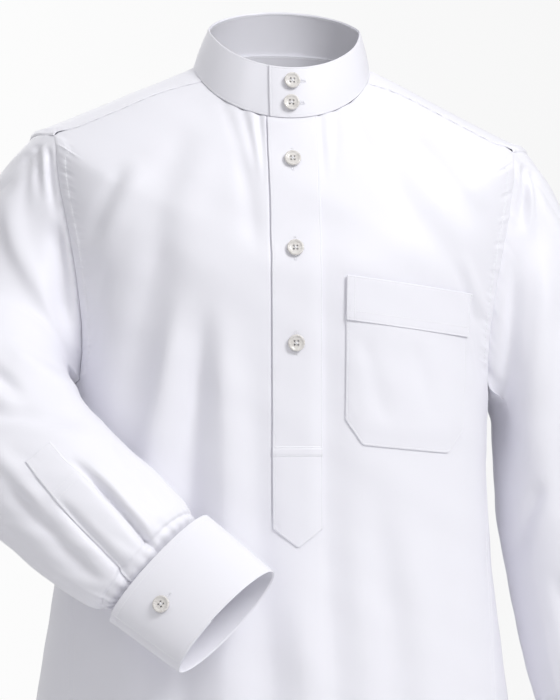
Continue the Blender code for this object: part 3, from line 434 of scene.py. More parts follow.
LEFT_SLEEVE_FRONT = creases(
    ((212, -86, 210, -114, 203, -152), -4.2, (4, 4.4), 1.6, 1.0, 0.08, 0.5),
    ((219, -88, 222, -118, 226, -165), -2.6, (3.6, 3.6), 1.6, 1.0, 0.08, 0.6),
    ((215, -88, 216, -118, 214, -160), 2.2, (3, 3), 1.6, 1.0, 0.08, 0.6),
    ((202, -160, 196, -235, 192, -311, 196, -380), -6, (6, 8), 1.2),
    ((230, -150, 222, -232, 217, -303, 222, -380), 4.8, (10, 11), 1.2),
    ((248, -170, 244, -260, 242, -350, 248, -430), -4, (9, 9), 1.2),
    ((270, -180, 272, -280, 276, -380), 3.6, (10, 11), 1.2),
    ((227, -362, 212, -408, 206, -450), -3.6, (6, 7), 1.1),
    ((300, -330, 268, -372, 236, -400), -3.2, (7, 7), 1.1),
    ((235, -440, 250, -500, 262, -556), -3.4, (6, 6), 1.2),
    ((290, -420, 296, -490, 300, -556), -3, (7, 6), 1.2),
)
LEFT_SLEEVE_BACK = creases(
    ((222, -95, 232, -160, 238, -230), -3.6, (5, 6), 1.4),
    ((206, -110, 208, -180, 214, -260), -4, (6, 6), 1.4),
    ((300, -340, 262, -360, 220, -392), -3.6, (8, 7), 1.1),
    ((306, -402, 276, -430, 236, -440), -3, (8, 7), 1.1),
    ((260, -440, 272, -500, 280, -556), -3.4, (6, 6), 1.2),
)

# ------------------------------------------------------------------------------------------- grids of cloth


@dataclass
class Patch:
    """A piece of cloth as a grid of points on its outer face, with the direction out of it at each."""

    points: Array
    normals: Array
    wrap: bool = False

    @classmethod
    def facing(cls, points: Array, outward: Array, wrap: bool = False) -> "Patch":
        """A patch whose directions are worked out from its points.

        Args:
            points: The grid.
            outward: Roughly outward directions, which settle the sign.
            wrap: Whether the last column joins the first.

        Returns:
            The patch.
        """
        if wrap:
            across = np.roll(points, -1, axis=1) - np.roll(points, 1, axis=1)
        else:
            across = np.gradient(points, axis=1)
        normals = unit(np.cross(across, np.gradient(points, axis=0)))
        sign = np.sign(np.sum(normals * outward, axis=-1).sum())
        return cls(points, normals * sign, wrap)

    def raised(self, lift: Array | float) -> "Patch":
        """The patch moved out of the cloth, with its directions worked out again."""
        lift = np.broadcast_to(lift, self.points.shape[:2])[..., None]
        return Patch.facing(self.points + self.normals * lift, self.normals, self.wrap)

    def turned(self, edge: Edge) -> tuple[Array, Array]:
        """The points and directions with an edge as the first column."""
        points, normals = self.points, self.normals
        if edge in (Edge.FIRST_ROW, Edge.LAST_ROW):
            points, normals = points.transpose(1, 0, 2), normals.transpose(1, 0, 2)
        if edge in (Edge.LAST_COLUMN, Edge.LAST_ROW):
            points, normals = points[:, ::-1], normals[:, ::-1]
        return points, normals

    def from_edge(self, edge: Edge) -> tuple[Array, Array]:
        """How far each point is from an edge, straight in from it, and how far along the edge.

        Args:
            edge: The edge.

        Returns:
            Both distances, as grids turned so that the edge is the first column.
        """
        points, _ = self.turned(edge)
        steps = np.linalg.norm(np.diff(points, axis=1), axis=2)
        inward = np.concatenate([np.zeros((len(points), 1)), np.cumsum(steps, axis=1)], axis=1)
        seam = unit(np.gradient(points[:, 0], axis=0))
        reach = min(4, points.shape[1] - 1)
        first = unit(points[:, reach] - points[:, 0])
        slant = np.linalg.norm(np.cross(seam, first), axis=1)[:, None]
        return inward * np.maximum(slant, 0.3), np.repeat(arc(points[:, 0])[:, None], points.shape[1], axis=1)

    def back_from(self, edge: Edge, grid: Array) -> Array:
        """A grid of numbers that was turned for an edge, turned back."""
        if edge in (Edge.LAST_COLUMN, Edge.LAST_ROW):
            grid = grid[:, ::-1]
        return grid.T if edge in (Edge.FIRST_ROW, Edge.LAST_ROW) else grid

    def inset(self, edge: Edge, distance: float, rows: slice = slice(None)) -> tuple[Array, Array]:
        """A line in the cloth at an even distance from an edge.

        Args:
            edge: The edge.
            distance: How far in from it.
            rows: The part of the edge wanted.

        Returns:
            The line's points and the directions out of the cloth.
        """
        points, normals = self.turned(edge)
        inward, _ = self.from_edge(edge)
        line, out = [], []
        for far, at, normal in zip(inward[rows], points[rows], normals[rows]):
            line.append([np.interp(distance, far, at[:, axis]) for axis in range(3)])
            out.append([np.interp(distance, far, normal[:, axis]) for axis in range(3)])
        return np.array(line), unit(np.array(out))

    def grain(self) -> Array:
        """Distances across and down the cloth at each point, which its weave follows."""
        steps = np.linalg.norm(np.diff(self.points, axis=1), axis=2)
        across = np.concatenate([np.zeros((len(steps), 1)), np.cumsum(steps, axis=1)], axis=1)
        middle = across[:, across.shape[1] // 2 : across.shape[1] // 2 + 1]
        steps = np.linalg.norm(np.diff(self.points, axis=0), axis=2)
        down = np.concatenate([np.zeros((1, steps.shape[1])), np.cumsum(steps, axis=0)], axis=0)
        return np.stack([across - middle, down, np.zeros_like(down)], axis=-1)


def new_mesh(name: str, points: Array, faces: list[Array], finish: bpy.types.Material, grain: Array | None) -> bpy.types.Object:
    """A mesh object of smooth faces with its sharp edges marked.

    Args:
        name: The piece's name.
        points: Its vertices.
        faces: Arrays of corner numbers, one array for each number of corners.
        finish: Its material.
        grain: Distances across and down the cloth at each vertex, if it is cloth.

    Returns:
        The object, in the scene.
    """
    mesh = bpy.data.meshes.new(name)
    mesh.from_pydata(points.tolist(), [], [corner for group in faces for corner in group.tolist()])
    mesh.polygons.foreach_set("use_smooth", np.ones(len(mesh.polygons), bool))
    mesh.set_sharp_from_angle(angle=math.radians(55))
    if grain is not None:
        mesh.attributes.new("grain", "FLOAT_VECTOR", "POINT").data.foreach_set("vector", grain.ravel())
    mesh.materials.append(finish)
    piece = bpy.data.objects.new(name, mesh)
    bpy.context.scene.collection.objects.link(piece)
    return piece


def shell(name: str, patch: Patch, wall: float, finish: bpy.types.Material, keep: Array | None = None) -> bpy.types.Object:
    """A closed thin shell of cloth behind a patch.

    Args:
        name: The piece's name.
        patch: Its outer face.
        wall: The cloth's thickness.
        finish: Its material.
        keep: Which cells of the grid are cloth, if some are cut away.

    Returns:
        The piece.
    """
    rows, columns = patch.points.shape[:2]
    number = np.arange(rows * columns).reshape(rows, columns)
    after = np.roll(number, -1, axis=1) if patch.wrap else number[:, 1:]
    before = number if patch.wrap else number[:, :-1]
    cells = np.stack([before[:-1], after[:-1], after[1:], before[1:]], axis=-1)
    if keep is not None:
        cells = cells[keep]
    cells = cells.reshape(-1, 4)
    points = patch.points.reshape(-1, 3)
    sample = points[cells[: len(cells) // 2 + 1]]
    facing = np.cross(sample[:, 2] - sample[:, 0], sample[:, 3] - sample[:, 1])
    out = patch.normals.reshape(-1, 3)[cells[: len(cells) // 2 + 1, 0]]
    if np.sum(facing * out) < 0:
        cells = cells[:, ::-1]
    sides = np.concatenate([cells[:, [i, (i + 1) % 4]] for i in range(4)])
    key = np.sort(sides, axis=1)
    _, first, uses = np.unique(key[:, 0] * len(points) + key[:, 1], return_index=True, return_counts=True)
    rim = sides[first[uses == 1]]
    size = len(points)
    rim_faces = np.stack([rim[:, 1], rim[:, 0], rim[:, 0] + size, rim[:, 1] + size], axis=1)
    both = np.concatenate([points, points - patch.normals.reshape(-1, 3) * wall])
    faces = np.concatenate([cells, cells[:, ::-1] + size, rim_faces])
    used, faces = np.unique(faces, return_inverse=True)
    grain = patch.grain().reshape(-1, 3)
    return new_mesh(name, both[used], [faces.reshape(-1, 4)], finish, np.concatenate([grain, grain])[used])


# ------------------------------------------------------------------------------------------- finishes


def feed(tree: bpy.types.NodeTree, node: bpy.types.Node, inputs: dict) -> None:
    """Sets a node's inputs, or links them where another node's output is given."""
    for key, value in inputs.items():
        if isinstance(value, bpy.types.NodeSocket):
            tree.links.new(value, node.inputs[key])
        else:
            node.inputs[key].default_value = value


def add_node(tree: bpy.types.NodeTree, kind: str, inputs: dict | None = None, **settings: str) -> bpy.types.Node:
    """Adds a node to a tree.

    Args:
        tree: The tree.
        kind: The node's type, without its first word.
        inputs: What goes into each input: a value, or another node's output.
        settings: The node's own settings.

    Returns:
        The node.
    """
    node = tree.nodes.new("ShaderNode" + kind)
    for name, value in settings.items():
        setattr(node, name, value)
    feed(tree, node, inputs or {})
    return node


def new_material(name: str) -> tuple[bpy.types.Material, bpy.types.NodeTree, bpy.types.Node]:
    """A new material, its tree and the shader in it."""
    made = bpy.data.materials.new(name)
    made.use_nodes = True
    return made, made.node_tree, made.node_tree.nodes["Principled BSDF"]


@dataclass(frozen=True)
class CottonFinish:
    """White satin-faced cotton: a fine weave with slubs in its yarn, and a soft sheen."""

    name: str = "white_cotton"
    light: tuple[float, float, float] = (0.872, 0.868, 0.928)
    dark: tuple[float, float, float] = (0.85, 0.846, 0.908)
    roughness: float = 0.5
    sheen: float = 0.25
    specular: float = 0.42
    pitch: float = 0.00042
    relief: float = 0.00004

    def material(self) -> bpy.types.Material:
        """The finish as a material.

        Returns:
            The material, whose weave follows each piece's grain.
        """
        made, tree, shader = new_material(self.name)
        grain = add_node(tree, "Attribute", attribute_name="grain").outputs["Vector"]
        parts = add_node(tree, "SeparateXYZ", {0: grain}).outputs
        threads = []
        for axis in range(2):
            turn = add_node(tree, "Math", {0: parts[axis], 1: 2 * math.pi / self.pitch}, operation="MULTIPLY")
            threads.append(add_node(tree, "Math", {0: turn.outputs[0]}, operation="SINE").outputs[0])
        weave = add_node(tree, "Math", {0: threads[0], 1: threads[1]}, operation="MULTIPLY").outputs[0]
        stretched = add_node(tree, "Mapping", {"Vector": grain, "Scale": (900.0, 60.0, 1.0)}).outputs[0]
        slubs = add_node(tree, "TexNoise", {"Vector": stretched, "Scale": 1.0, "Detail": 2.0}).outputs["Fac"]
        height = add_node(tree, "Math", {0: weave, 1: 0.5, 2: slubs}, operation="MULTIPLY_ADD").outputs[0]
        bump = add_node(tree, "Bump", {"Height": height, "Strength": 0.35, "Distance": self.relief})
        place = add_node(tree, "TexCoord").outputs["Object"]
        cloud = add_node(tree, "TexNoise", {"Vector": place, "Scale": 9.0, "Detail": 4.0}).outputs["Fac"]
        shade = add_node(tree, "Mix", {0: 0.35, 2: cloud, 3: slubs}, data_type="FLOAT").outputs[0]
        colours = {0: shade, 6: (*self.dark, 1), 7: (*self.light, 1)}
        low, high = self.roughness - 0.05, self.roughness + 0.06
        feed(tree, shader, {
            "Base Color": add_node(tree, "Mix", colours, data_type="RGBA").outputs[2],
            "Roughness": add_node(tree, "MapRange", {"Value": slubs, "To Min": low, "To Max": high}).outputs[0],
            "Normal": bump.outputs["Normal"],
            "Sheen Weight": self.sheen,
            "Sheen Roughness": 0.35,
            "Specular IOR Level": self.specular,
        })
        return made


@dataclass(frozen=True)
class ThreadFinish:
    """Sewing thread: a little brighter than the cloth, with its twist showing."""

    name: str = "sewing_thread"
    colour: tuple[float, float, float] = (0.93, 0.93, 0.97)

    def material(self) -> bpy.types.Material:
        """The finish as a material."""
        made, tree, shader = new_material(self.name)
        place = add_node(tree, "TexCoord").outputs["Object"]
        twist = add_node(tree, "TexNoise", {"Vector": place, "Scale": 2500.0}).outputs["Fac"]
        dark = [part * 0.93 for part in self.colour]
        colours = {0: twist, 6: (*dark, 1), 7: (*self.colour, 1)}
        tint = add_node(tree, "Mix", colours, data_type="RGBA").outputs[2]
        feed(tree, shader, {"Base Color": tint, "Roughness": 0.55, "Sheen Weight": 0.3})
        return made


@dataclass(frozen=True)
class ShellFinish:
    """Polished shell for the buttons, in soft cloudy layers."""

    name: str = "button_shell"
    light: tuple[float, float, float] = (0.78, 0.755, 0.735)
    dark: tuple[float, float, float] = (0.6, 0.575, 0.55)

    def material(self) -> bpy.types.Material:
        """The finish as a material."""
        made, tree, shader = new_material(self.name)
        place = add_node(tree, "TexCoord").outputs["Object"]
        flat = add_node(tree, "Mapping", {"Vector": place, "Scale": (160.0, 160.0, 420.0)}).outputs[0]
        cloud = {"Vector": flat, "Scale": 1.0, "Detail": 5.0, "Distortion": 1.2}
        layers = add_node(tree, "TexNoise", cloud).outputs["Fac"]
        ramp = add_node(tree, "ValToRGB", {"Fac": layers})
        for element, position, colour in zip(ramp.color_ramp.elements, (0.25, 0.65), (self.dark, self.light)):
            element.position, element.color = position, (*colour, 1)
        gloss = add_node(tree, "MapRange", {"Value": layers, "To Min": 0.2, "To Max": 0.36}).outputs[0]
        feed(tree, shader, {"Base Color": ramp.outputs["Color"], "Roughness": gloss,
                            "Coat Weight": 0.35, "Coat Roughness": 0.12})
        return made


# ------------------------------------------------------------------------------------------- forms


class BodyForm:
    """The outer form of the robe's body, which every panel of it is cut from."""

    def __init__(self) -> None:
        """Reads the sections."""
        self.track = Track(list(SECTIONS.values()))
        self.yoke_front = Track(YOKE_COLUMNS[: YOKE_CORNER + 1])
        self.yoke_back = Track(YOKE_COLUMNS[YOKE_CORNER:])

    def size(self, place: Array | float, name: str) -> Array:
        """One size of the sections at places."""
        names = ("front_z", "side_z", "back_z", "width", "mid_y", "front_y", "back_y", "square", "curl",
                 "pocket_x", "front_x", "back_x")
        return self.track.at(place)[..., names.index(name)]

    def angle(self, place: Array, x: Array) -> Array:
        """The angle from the middle of the front, or of the back, at which a section is x wide.

        Args:
            place: Places down the body.
            x: Distances across, positive to the wearer's left.

        Returns:
            Signed angles.
        """
        share = np.clip(np.abs(x) / self.size(place, "width"), 0, 1)
        return np.sign(x) * np.arcsin(share ** (self.size(place, "square") / 2))

    @staticmethod
    def oval(sizes: Array, angle: Array) -> Array:
        """Points of a section.

        Args:
            sizes: The section's sizes along the last axis.
            angle: Angles from the middle of the front: 90 degrees is the wearer's left.

        Returns:
            The points.
        """
        front_z, side_z, back_z, width, mid_y, front_y, back_y, square, curl = np.moveaxis(sizes[..., :9], -1, 0)
        across, ahead = np.sin(angle), np.cos(angle)
        share = np.abs(ahead)
        x = np.sign(across) * width * np.abs(across) ** (2 / square)
        y = mid_y + (np.where(ahead >= 0, front_y, back_y) - mid_y) * share ** (2 / square)
        z = side_z + (np.where(ahead >= 0, front_z, back_z) - side_z) * share**curl
        return np.stack([x, y, z], axis=-1)

    def plain(self, place: Array, angle: Array) -> Array:
        """The form without its creases, evened out between its sections.

        Args:
            place: Places down the body.
            angle: Angles round it.

        Returns:
            The points.
        """
        place, angle = np.broadcast_arrays(np.asarray(place, float), np.asarray(angle, float))
        spread = 0.42 * smooth(place / 1.5) * smooth((PLACES["hem"] - place) / 1.5)
        near = zip((-2, -1, 0, 1, 2), (0.0625, 0.25, 0.375, 0.25, 0.0625))
        return sum(share * self.rough(place + step * spread, angle) for step, share in near)

    def rough(self, place: Array, angle: Array) -> Array:
        """The form straight from the table of sections, with the ripples of its sides."""
        sizes = self.track.at(place)
        point = self.oval(sizes, angle)
        flat = smooth((np.abs(np.cos(angle)) - 0.12) / 0.35)
        lift = SIDE_RIPPLE * smooth(SKIRT_TOP - point[..., 2]) * (1 - flat) * np.cos(SIDE_FLUTES * angle)
        outward = unit(np.stack([
            point[..., 0] / sizes[..., 3] ** 2, (point[..., 1] - sizes[..., 4]) / 0.15**2, np.zeros_like(lift),
        ], axis=-1))
        tilt = SHOULDER_TILT * smooth((np.abs(point[..., 0]) - 0.06) / 0.16)
        tilt = tilt * smooth((point[..., 2] - SKIRT_TOP) / 0.3)
        point = point + outward * lift[..., None]
        drawn = np.interp(-point[..., 2], LEFT_DRAWN_AT, LEFT_DRAWN_BY)
        point[..., 0] -= drawn * np.maximum(np.sin(angle), 0) ** 2
        point[..., 2] -= np.sign(point[..., 0]) * tilt
        return point

    def patch(self, place: Array, angle: Array) -> tuple[Array, Array]:
        """The form with its creases.

        Args:
            place: Places down the body, as a grid or a line.
            angle: Angles round it.

        Returns:
            The points, and the directions straight out of the plain form.
        """
        place, angle = np.broadcast_arrays(np.asarray(place, float), np.asarray(angle, float))
        step = 0.02
        low, high = np.maximum(place - step, 0), np.minimum(place + step, len(SECTIONS) - 1)
        down = self.plain(high, angle) - self.plain(low, angle)
        round_it = self.plain(place, angle + step) - self.plain(place, angle - step)
        normals = unit(np.cross(round_it, -down))
        point = self.plain(place, angle)
        ahead = np.cos(angle)
        flat = smooth((np.abs(ahead) - 0.12) / 0.35)
        lift = np.where(ahead > 0, lift_of(FRONT_CREASES, point), lift_of(BACK_CREASES, point)) * flat
        lift = lift + 0.00022 * waves(point[..., 2] + 0.6 * point[..., 0], (0.041, 0.067, 0.093), 5)
        return point + normals * lift[..., None], normals

    def place_at(self, chest_x: float, z: float) -> float:
        """The place at which a column of the front is at height z."""
        fine = np.linspace(0, PLACES["thigh"], 500)
        return float(np.interp(-z, -self.plain(fine, self.column(fine, np.array(chest_x)))[:, 2], fine))

    def column(self, place: Array, chest_x: Array) -> Array:
        """The angle at which a column of the front panel crosses a section.

        Args:
            place: Places down the body.
            chest_x: Where the column crosses the chest.

        Returns:
            The angles.
        """
        place, chest_x = np.broadcast_arrays(np.asarray(place, float), np.asarray(chest_x, float))
        start = np.where(chest_x > 0, PLACKET_LEFT, -PLACKET_RIGHT)
        pocket_x, edge_x = self.size(place, "pocket_x"), self.size(place, "front_x")
        size = np.abs(chest_x)
        inner = start + (pocket_x - start) * (size - start) / (POCKET_OUTER - start)
        outer = pocket_x + (edge_x - pocket_x) * (size - POCKET_OUTER) / (CHEST_EDGE - POCKET_OUTER)
        x = np.where(size <= start, size, np.where(size <= POCKET_OUTER, inner, outer))
        return self.angle(place, np.sign(chest_x) * x)

    def yoke_way(self, column: Array, share: Array, side: Side) -> tuple[Array, Array]:
        """The place and angle of the yoke's points.

        Args:
            column: 0 at the front seam, 4 where the armhole ends, 8 at the middle of the back.
            share: 0 at the neck and 1 at the outer edge.
            side: The side of the body.

        Returns:
            Places and angles.
        """
        column, share = np.broadcast_arrays(np.asarray(column, float), np.asarray(share, float))
        front = self.yoke_front.at(np.minimum(column, YOKE_CORNER))
        back = self.yoke_back.at(np.maximum(column - YOKE_CORNER, 0))
        neck_way, outer_way, outer_place = np.moveaxis(np.where((column <= YOKE_CORNER)[..., None], front, back), -1, 0)
        seam_place = share * PLACES["shoulder_corner"]
        seam = self.angle(seam_place, self.size(seam_place, "front_x"))
        way = neck_way + (outer_way - neck_way) * share
        return share * outer_place, side.value * (seam + way * (math.pi - seam))

    def back_way(self, place: Array, share: Array) -> Array:
        """The angle of the back panel's column at a share from the middle to its edge."""
        return math.pi - self.angle(place, np.abs(share) * self.size(place, "back_x"))

    def armhole(self, side: Side, count: int) -> tuple[Array, Array]:
        """Places and angles at even steps round one armhole.

        Args:
            side: The side of the body.
            count: How many points there are.

        Returns:
            Places and angles, from the yoke's front seam down the front, under the arm and up the back.
        """
        armpit = PLACES["armpit"]
        down = np.linspace(PLACES["shoulder_corner"], armpit, 120)
        first = self.angle(down, self.size(down, "front_x"))
        under = np.linspace(first[-1], float(self.back_way(np.array(armpit), np.array(1.0))), 40)
        up = np.linspace(armpit, PLACES["arm_upper"], 90)
        rear = self.back_way(up, np.ones_like(up))
        corner_place, corner_angle = self.yoke_way(np.array(4.0), np.array(1.0), Side.LEFT)
        blend = np.linspace(0, 1, 12)[1:]
        over_place, over_angle = self.yoke_way(np.linspace(4, 0, 100), np.ones(100), Side.LEFT)
        places = np.concatenate([
            down, np.full(len(under) - 1, armpit), up[1:],
            PLACES["arm_upper"] + (corner_place - PLACES["arm_upper"]) * blend, over_place[1:-1],
        ])
        angles = np.concatenate([
            first, under[1:], rear[1:], rear[-1] + (corner_angle - rear[-1]) * blend, over_angle[1:-1],
        ]) * side.value
        ring, _ = self.patch(places, angles)
        along = arc(np.vstack([ring, ring[:1]]))
        at = np.linspace(0, along[-1], count, endpoint=False)
        closed = np.append(places, places[0]), np.append(angles, angles[0])
        return np.interp(at, along, closed[0]), np.interp(at, along, closed[1])


class ArmForm:
    """The form of a sleeve and its cuff: sections along the arm."""

    def __init__(self, side: Side) -> None:
        """Reads the arm's sections."""
        self.side = side
        self.track = Track(LEFT_ARM if side is Side.LEFT else RIGHT_ARM)
        self.seam = len(self.track.values) - 2.0

    def middle(self, place: Array) -> Array:
        """The middle of the arm."""
        sizes = self.track.at(place)
        return (sizes[..., :3] + sizes[..., 3:6]) / 2

    def along(self, place: Array) -> Array:
        """The direction down the arm."""
        last = len(self.track.values) - 1
        return unit(self.middle(np.minimum(place + 0.02, last)) - self.middle(np.maximum(place - 0.02, 0)))

    def point(self, place: Array | float, angle: Array | float, lift: Array | float = 0.0) -> Array:
        """Points of the arm.

        Args:
            place: Places along it, counted in sections.
            angle: Angles from its outer side towards the front.
            lift: How far out of it they are.

        Returns:
            The points.
        """
        place, angle, lift = np.broadcast_arrays(*(np.asarray(value, float) for value in (place, angle, lift)))
        sizes = self.track.at(place)
        inner, outer, half_depth = sizes[..., :3], sizes[..., 3:6], sizes[..., 6]
        across = unit(outer - inner)
        front = unit(np.cross(self.along(place), across)) * self.side.value
        half_width = np.linalg.norm(outer - inner, axis=-1) / 2
        return (
            (inner + outer) / 2
            + across * (np.cos(angle) * (half_width + lift))[..., None]
            + front * (np.sin(angle) * (half_depth + lift))[..., None]
        )


# ------------------------------------------------------------------------------------------- sewing


class Stitching:
    """Small lengths of thread, joined in one mesh."""

    def __init__(self, name: str, thread: bpy.types.Material) -> None:
        """Starts with no stitches."""
        self.name, self.thread = name, thread
        self.starts: list[Array] = []
        self.ends: list[Array] = []
        self.outs: list[Array] = []
        self.sizes: list[Array] = []

    def dashes(self, starts: Array, ends: Array, outs: Array, width: float, proud: float) -> None:
        """Adds separate lengths of thread.

        Args:
            starts: Where each starts.
            ends: Where each ends.
            outs: The direction out of the cloth.
            width: Half the thread's width.
            proud: How far it stands out.
        """
        self.starts.append(starts)
        self.ends.append(ends)
        self.outs.append(outs)
        self.sizes.append(np.tile([width, proud], (len(starts), 1)))

    def run(self, line: Array, outs: Array, pitch: float = 0.0027, share: float = 0.7, width: float = 0.00028,
            proud: float = 0.00034) -> None:
        """Adds a row of stitches along a line.

        Args:
            line: The line's points.
            outs: The directions out of the cloth along it.
            pitch: From one stitch to the next.
            share: How much of that the thread covers.
            width: Half the thread's width.
            proud: How far the thread stands out.
        """
        along = arc(line)
        count = max(1, int(along[-1] / pitch))
        at = (np.arange(count) + 0.5) * along[-1] / count
        half = along[-1] / count * share / 2

        def sample(values: Array, where: Array) -> Array:
            """Values along the line."""
            return np.stack([np.interp(where, along, values[:, axis]) for axis in range(3)], axis=1)

        self.dashes(sample(line, at - half), sample(line, at + half), unit(sample(outs, at)), width, proud)

    def buttonhole(self, centre: Array, way: Array, out: Array, length: float) -> None:
        """Adds the close stitches round a buttonhole.

        Args:
            centre: The middle of the hole.
            way: The direction along it.
            out: The direction out of the cloth.
            length: Its length.
        """
        way, out = unit(way), unit(out)
        side = np.cross(out, way)
        at = np.arange(-length / 2, length / 2, 0.00042)
        for sign in (-1, 1):
            near = centre + at[:, None] * way + side * sign * 0.00025
            self.dashes(near, near + side * sign * 0.0011, np.tile(out, (len(at), 1)), 0.0002, 0.00022)
        for sign in (-1, 1):
            end = centre + way * sign * (length / 2 + 0.0004)
            bars = np.array([-0.0004, 0.0, 0.0004])[:, None] * way + end
            self.dashes(bars - side * 0.0014, bars + side * 0.0014, np.tile(out, (3, 1)), 0.00024, 0.00034)

    def piece(self) -> bpy.types.Object:
        """The stitches as one piece.

        Returns:
            The object.
        """
        start, end, out = (np.concatenate(parts) for parts in (self.starts, self.ends, self.outs))
        size = np.concatenate(self.sizes)
        way = unit(end - start)
        side = unit(np.cross(out, way))
        middle = (start + end) / 2
        reach = (end - start) * 0.22
        wide, high = side * size[:, :1], out * size[:, 1:]
        corners = np.stack([
            start, middle - reach + wide, middle - reach + high, middle - reach - wide,
            middle + reach + wide, middle + reach + high, middle + reach - wide, end,
        ], axis=1)
        corners[:, [0, 7]] -= (out * 0.00006)[:, None]
        first = (np.arange(len(start)) * 8)[:, None, None]
        threes = np.array([(0, 2, 1), (0, 3, 2), (0, 1, 3), (7, 4, 5), (7, 5, 6), (7, 6, 4)])
        fours = np.array([(1, 2, 5, 4), (2, 3, 6, 5), (3, 1, 4, 6)])
        return new_mesh(
            self.name, corners.reshape(-1, 3),
            [(first + threes).reshape(-1, 3), (first + fours).reshape(-1, 4)], self.thread, None,
        )


@dataclass
class Workroom:
    """What every part of the robe is made with: its forms and finishes, and how a piece is hung on the robe."""

    body: BodyForm
    cotton: bpy.types.Material
    thread: bpy.types.Material
    shell: bpy.types.Material

    def stitching(self, name: str) -> Stitching:
        """A new set of stitches."""
        return Stitching(f"stitching_{name}", self.thread)

    def dress(self, piece: bpy.types.Object, node: str | None, slot: str) -> bpy.types.Object:
        """Hangs a piece on the robe.

        Args:
            piece: The piece.
            node: The part of the frame that it stands for, if any.
            slot: Not used.

        Returns:
            The piece.
        """
        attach(piece, "root")
        if node:
            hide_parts(node)
        LOG.info("%s: %d faces", piece.name, len(piece.data.polygons))
        return piece

    def cloth(self, node: str, patch: Patch, wall: float, flat: Point2, held: Held, rests_on: list[str],
              sewing: Stitching | None = None, area: float | None = None, keep: Array | None = None) -> bpy.types.Object:
        """Makes a sheet of cloth in place of a part of the frame, with its stitches.

        Args:
            node: The part of the frame.
            patch: The cloth's outer face.
            wall: Its thickness.
            flat: Not used.
            held: Not used.
            rests_on: Not used.
            sewing: The stitches on it.
            area: Not used.
            keep: Which cells of the grid are cloth, if some are cut away.

        Returns:
            The piece.
        """
        piece = self.dress(shell(f"cloth_{node}", patch, wall, self.cotton, keep), node, "white_cotton")
        along = [self.dress(sewing.piece(), None, "white_cotton")] if sewing else []
        return piece


def pucker(along: Array, seed: int) -> Array:
    """The small waves that a seam draws cloth into, at distances along it."""
    return waves(along, (0.0052, 0.0067, 0.0091, 0.0149), seed)


def felled(inward: Array, along: Array, seed: int) -> Array:
    """The relief of a felled seam on the side that it is pressed to.

    Args:
        inward: Distance from the seam.
        along: Distance along it.
        seed: Picks the puckers.

    Returns:
        The lift at each point.
    """
    band = smooth(inward / 0.002) * smooth((FELL - inward) / 0.0009)
    row = np.exp(-(((inward - FELL + 0.0016) / 0.0008) ** 2))
    drawn = np.exp(-(((inward - 0.007) / 0.005) ** 2)) + 0.7 * np.exp(-(((inward - 0.014) / 0.004) ** 2))
    return 0.00095 * band - 0.0008 * row + 0.00042 * drawn * pucker(along, seed)


def plain_seam(inward: Array, along: Array, seed: int) -> Array:
    """The relief beside a plain seam: a fine groove with slight puckers."""
    return -0.00025 * np.exp(-((inward / 0.001) ** 2)) + 0.00014 * np.exp(-inward / 0.006) * pucker(along, seed)


def lapped(inward: Array, along: Array, stitch: float, seed: int) -> Array:
    """The relief of an edge that is laid over another and topstitched.

    Args:
        inward: Distance from the edge.
        along: Distance along it.
        stitch: Distance from the edge to the topstitching.
        seed: Picks the puckers.

    Returns:
        The lift at each point.
    """
    fold = 0.0005 * smooth((stitch + 0.0014 - inward) / 0.0012) * smooth(inward / 0.0008)
    row = np.exp(-(((inward - stitch) / 0.0008) ** 2))
    return fold - 0.00035 * row + 0.00016 * np.exp(-inward / (stitch * 1.5)) * pucker(along, seed)


def rolled(inward: Array, wall: float) -> Array:
    """How far a folded edge rolls back from the face near its end."""
    share = np.clip(1 - inward / (0.6 * wall), 0, 1)
    return -0.4 * wall * (1 - np.sqrt(np.maximum(1 - share**2, 0)))


def edged(patch: Patch, wall: float, stitches: dict[Edge, float], seed: int, drawn: float, fade: float = 0.004,
          groove: float = 0.0, groove_width: float = 0.0006) -> Patch:
    """The patch with its edges rolled and lightly puckered by their stitching.

    Args:
        patch: The cloth.
        wall: How thick the fold at the edge is.
        stitches: How far in from each edge its stitching runs.
        seed: Picks the first edge's puckers.
        drawn: The height of the puckers.
        fade: How far in they reach.
        groove: How deep the stitching sinks in.
        groove_width: Half the width of that groove.

    Returns:
        The finished patch.
    """
    lift = np.zeros(patch.points.shape[:2])
    for number, (edge, stitch) in enumerate(stitches.items()):
        inward, along = patch.from_edge(edge)
        relief = rolled(inward, wall) + drawn * np.exp(-inward / fade) * pucker(along, seed + number)
        relief = relief - groove * np.exp(-(((inward - stitch) / groove_width) ** 2))
        lift += patch.back_from(edge, relief)
    return patch.raised(lift)


# ------------------------------------------------------------------------------------------- the body


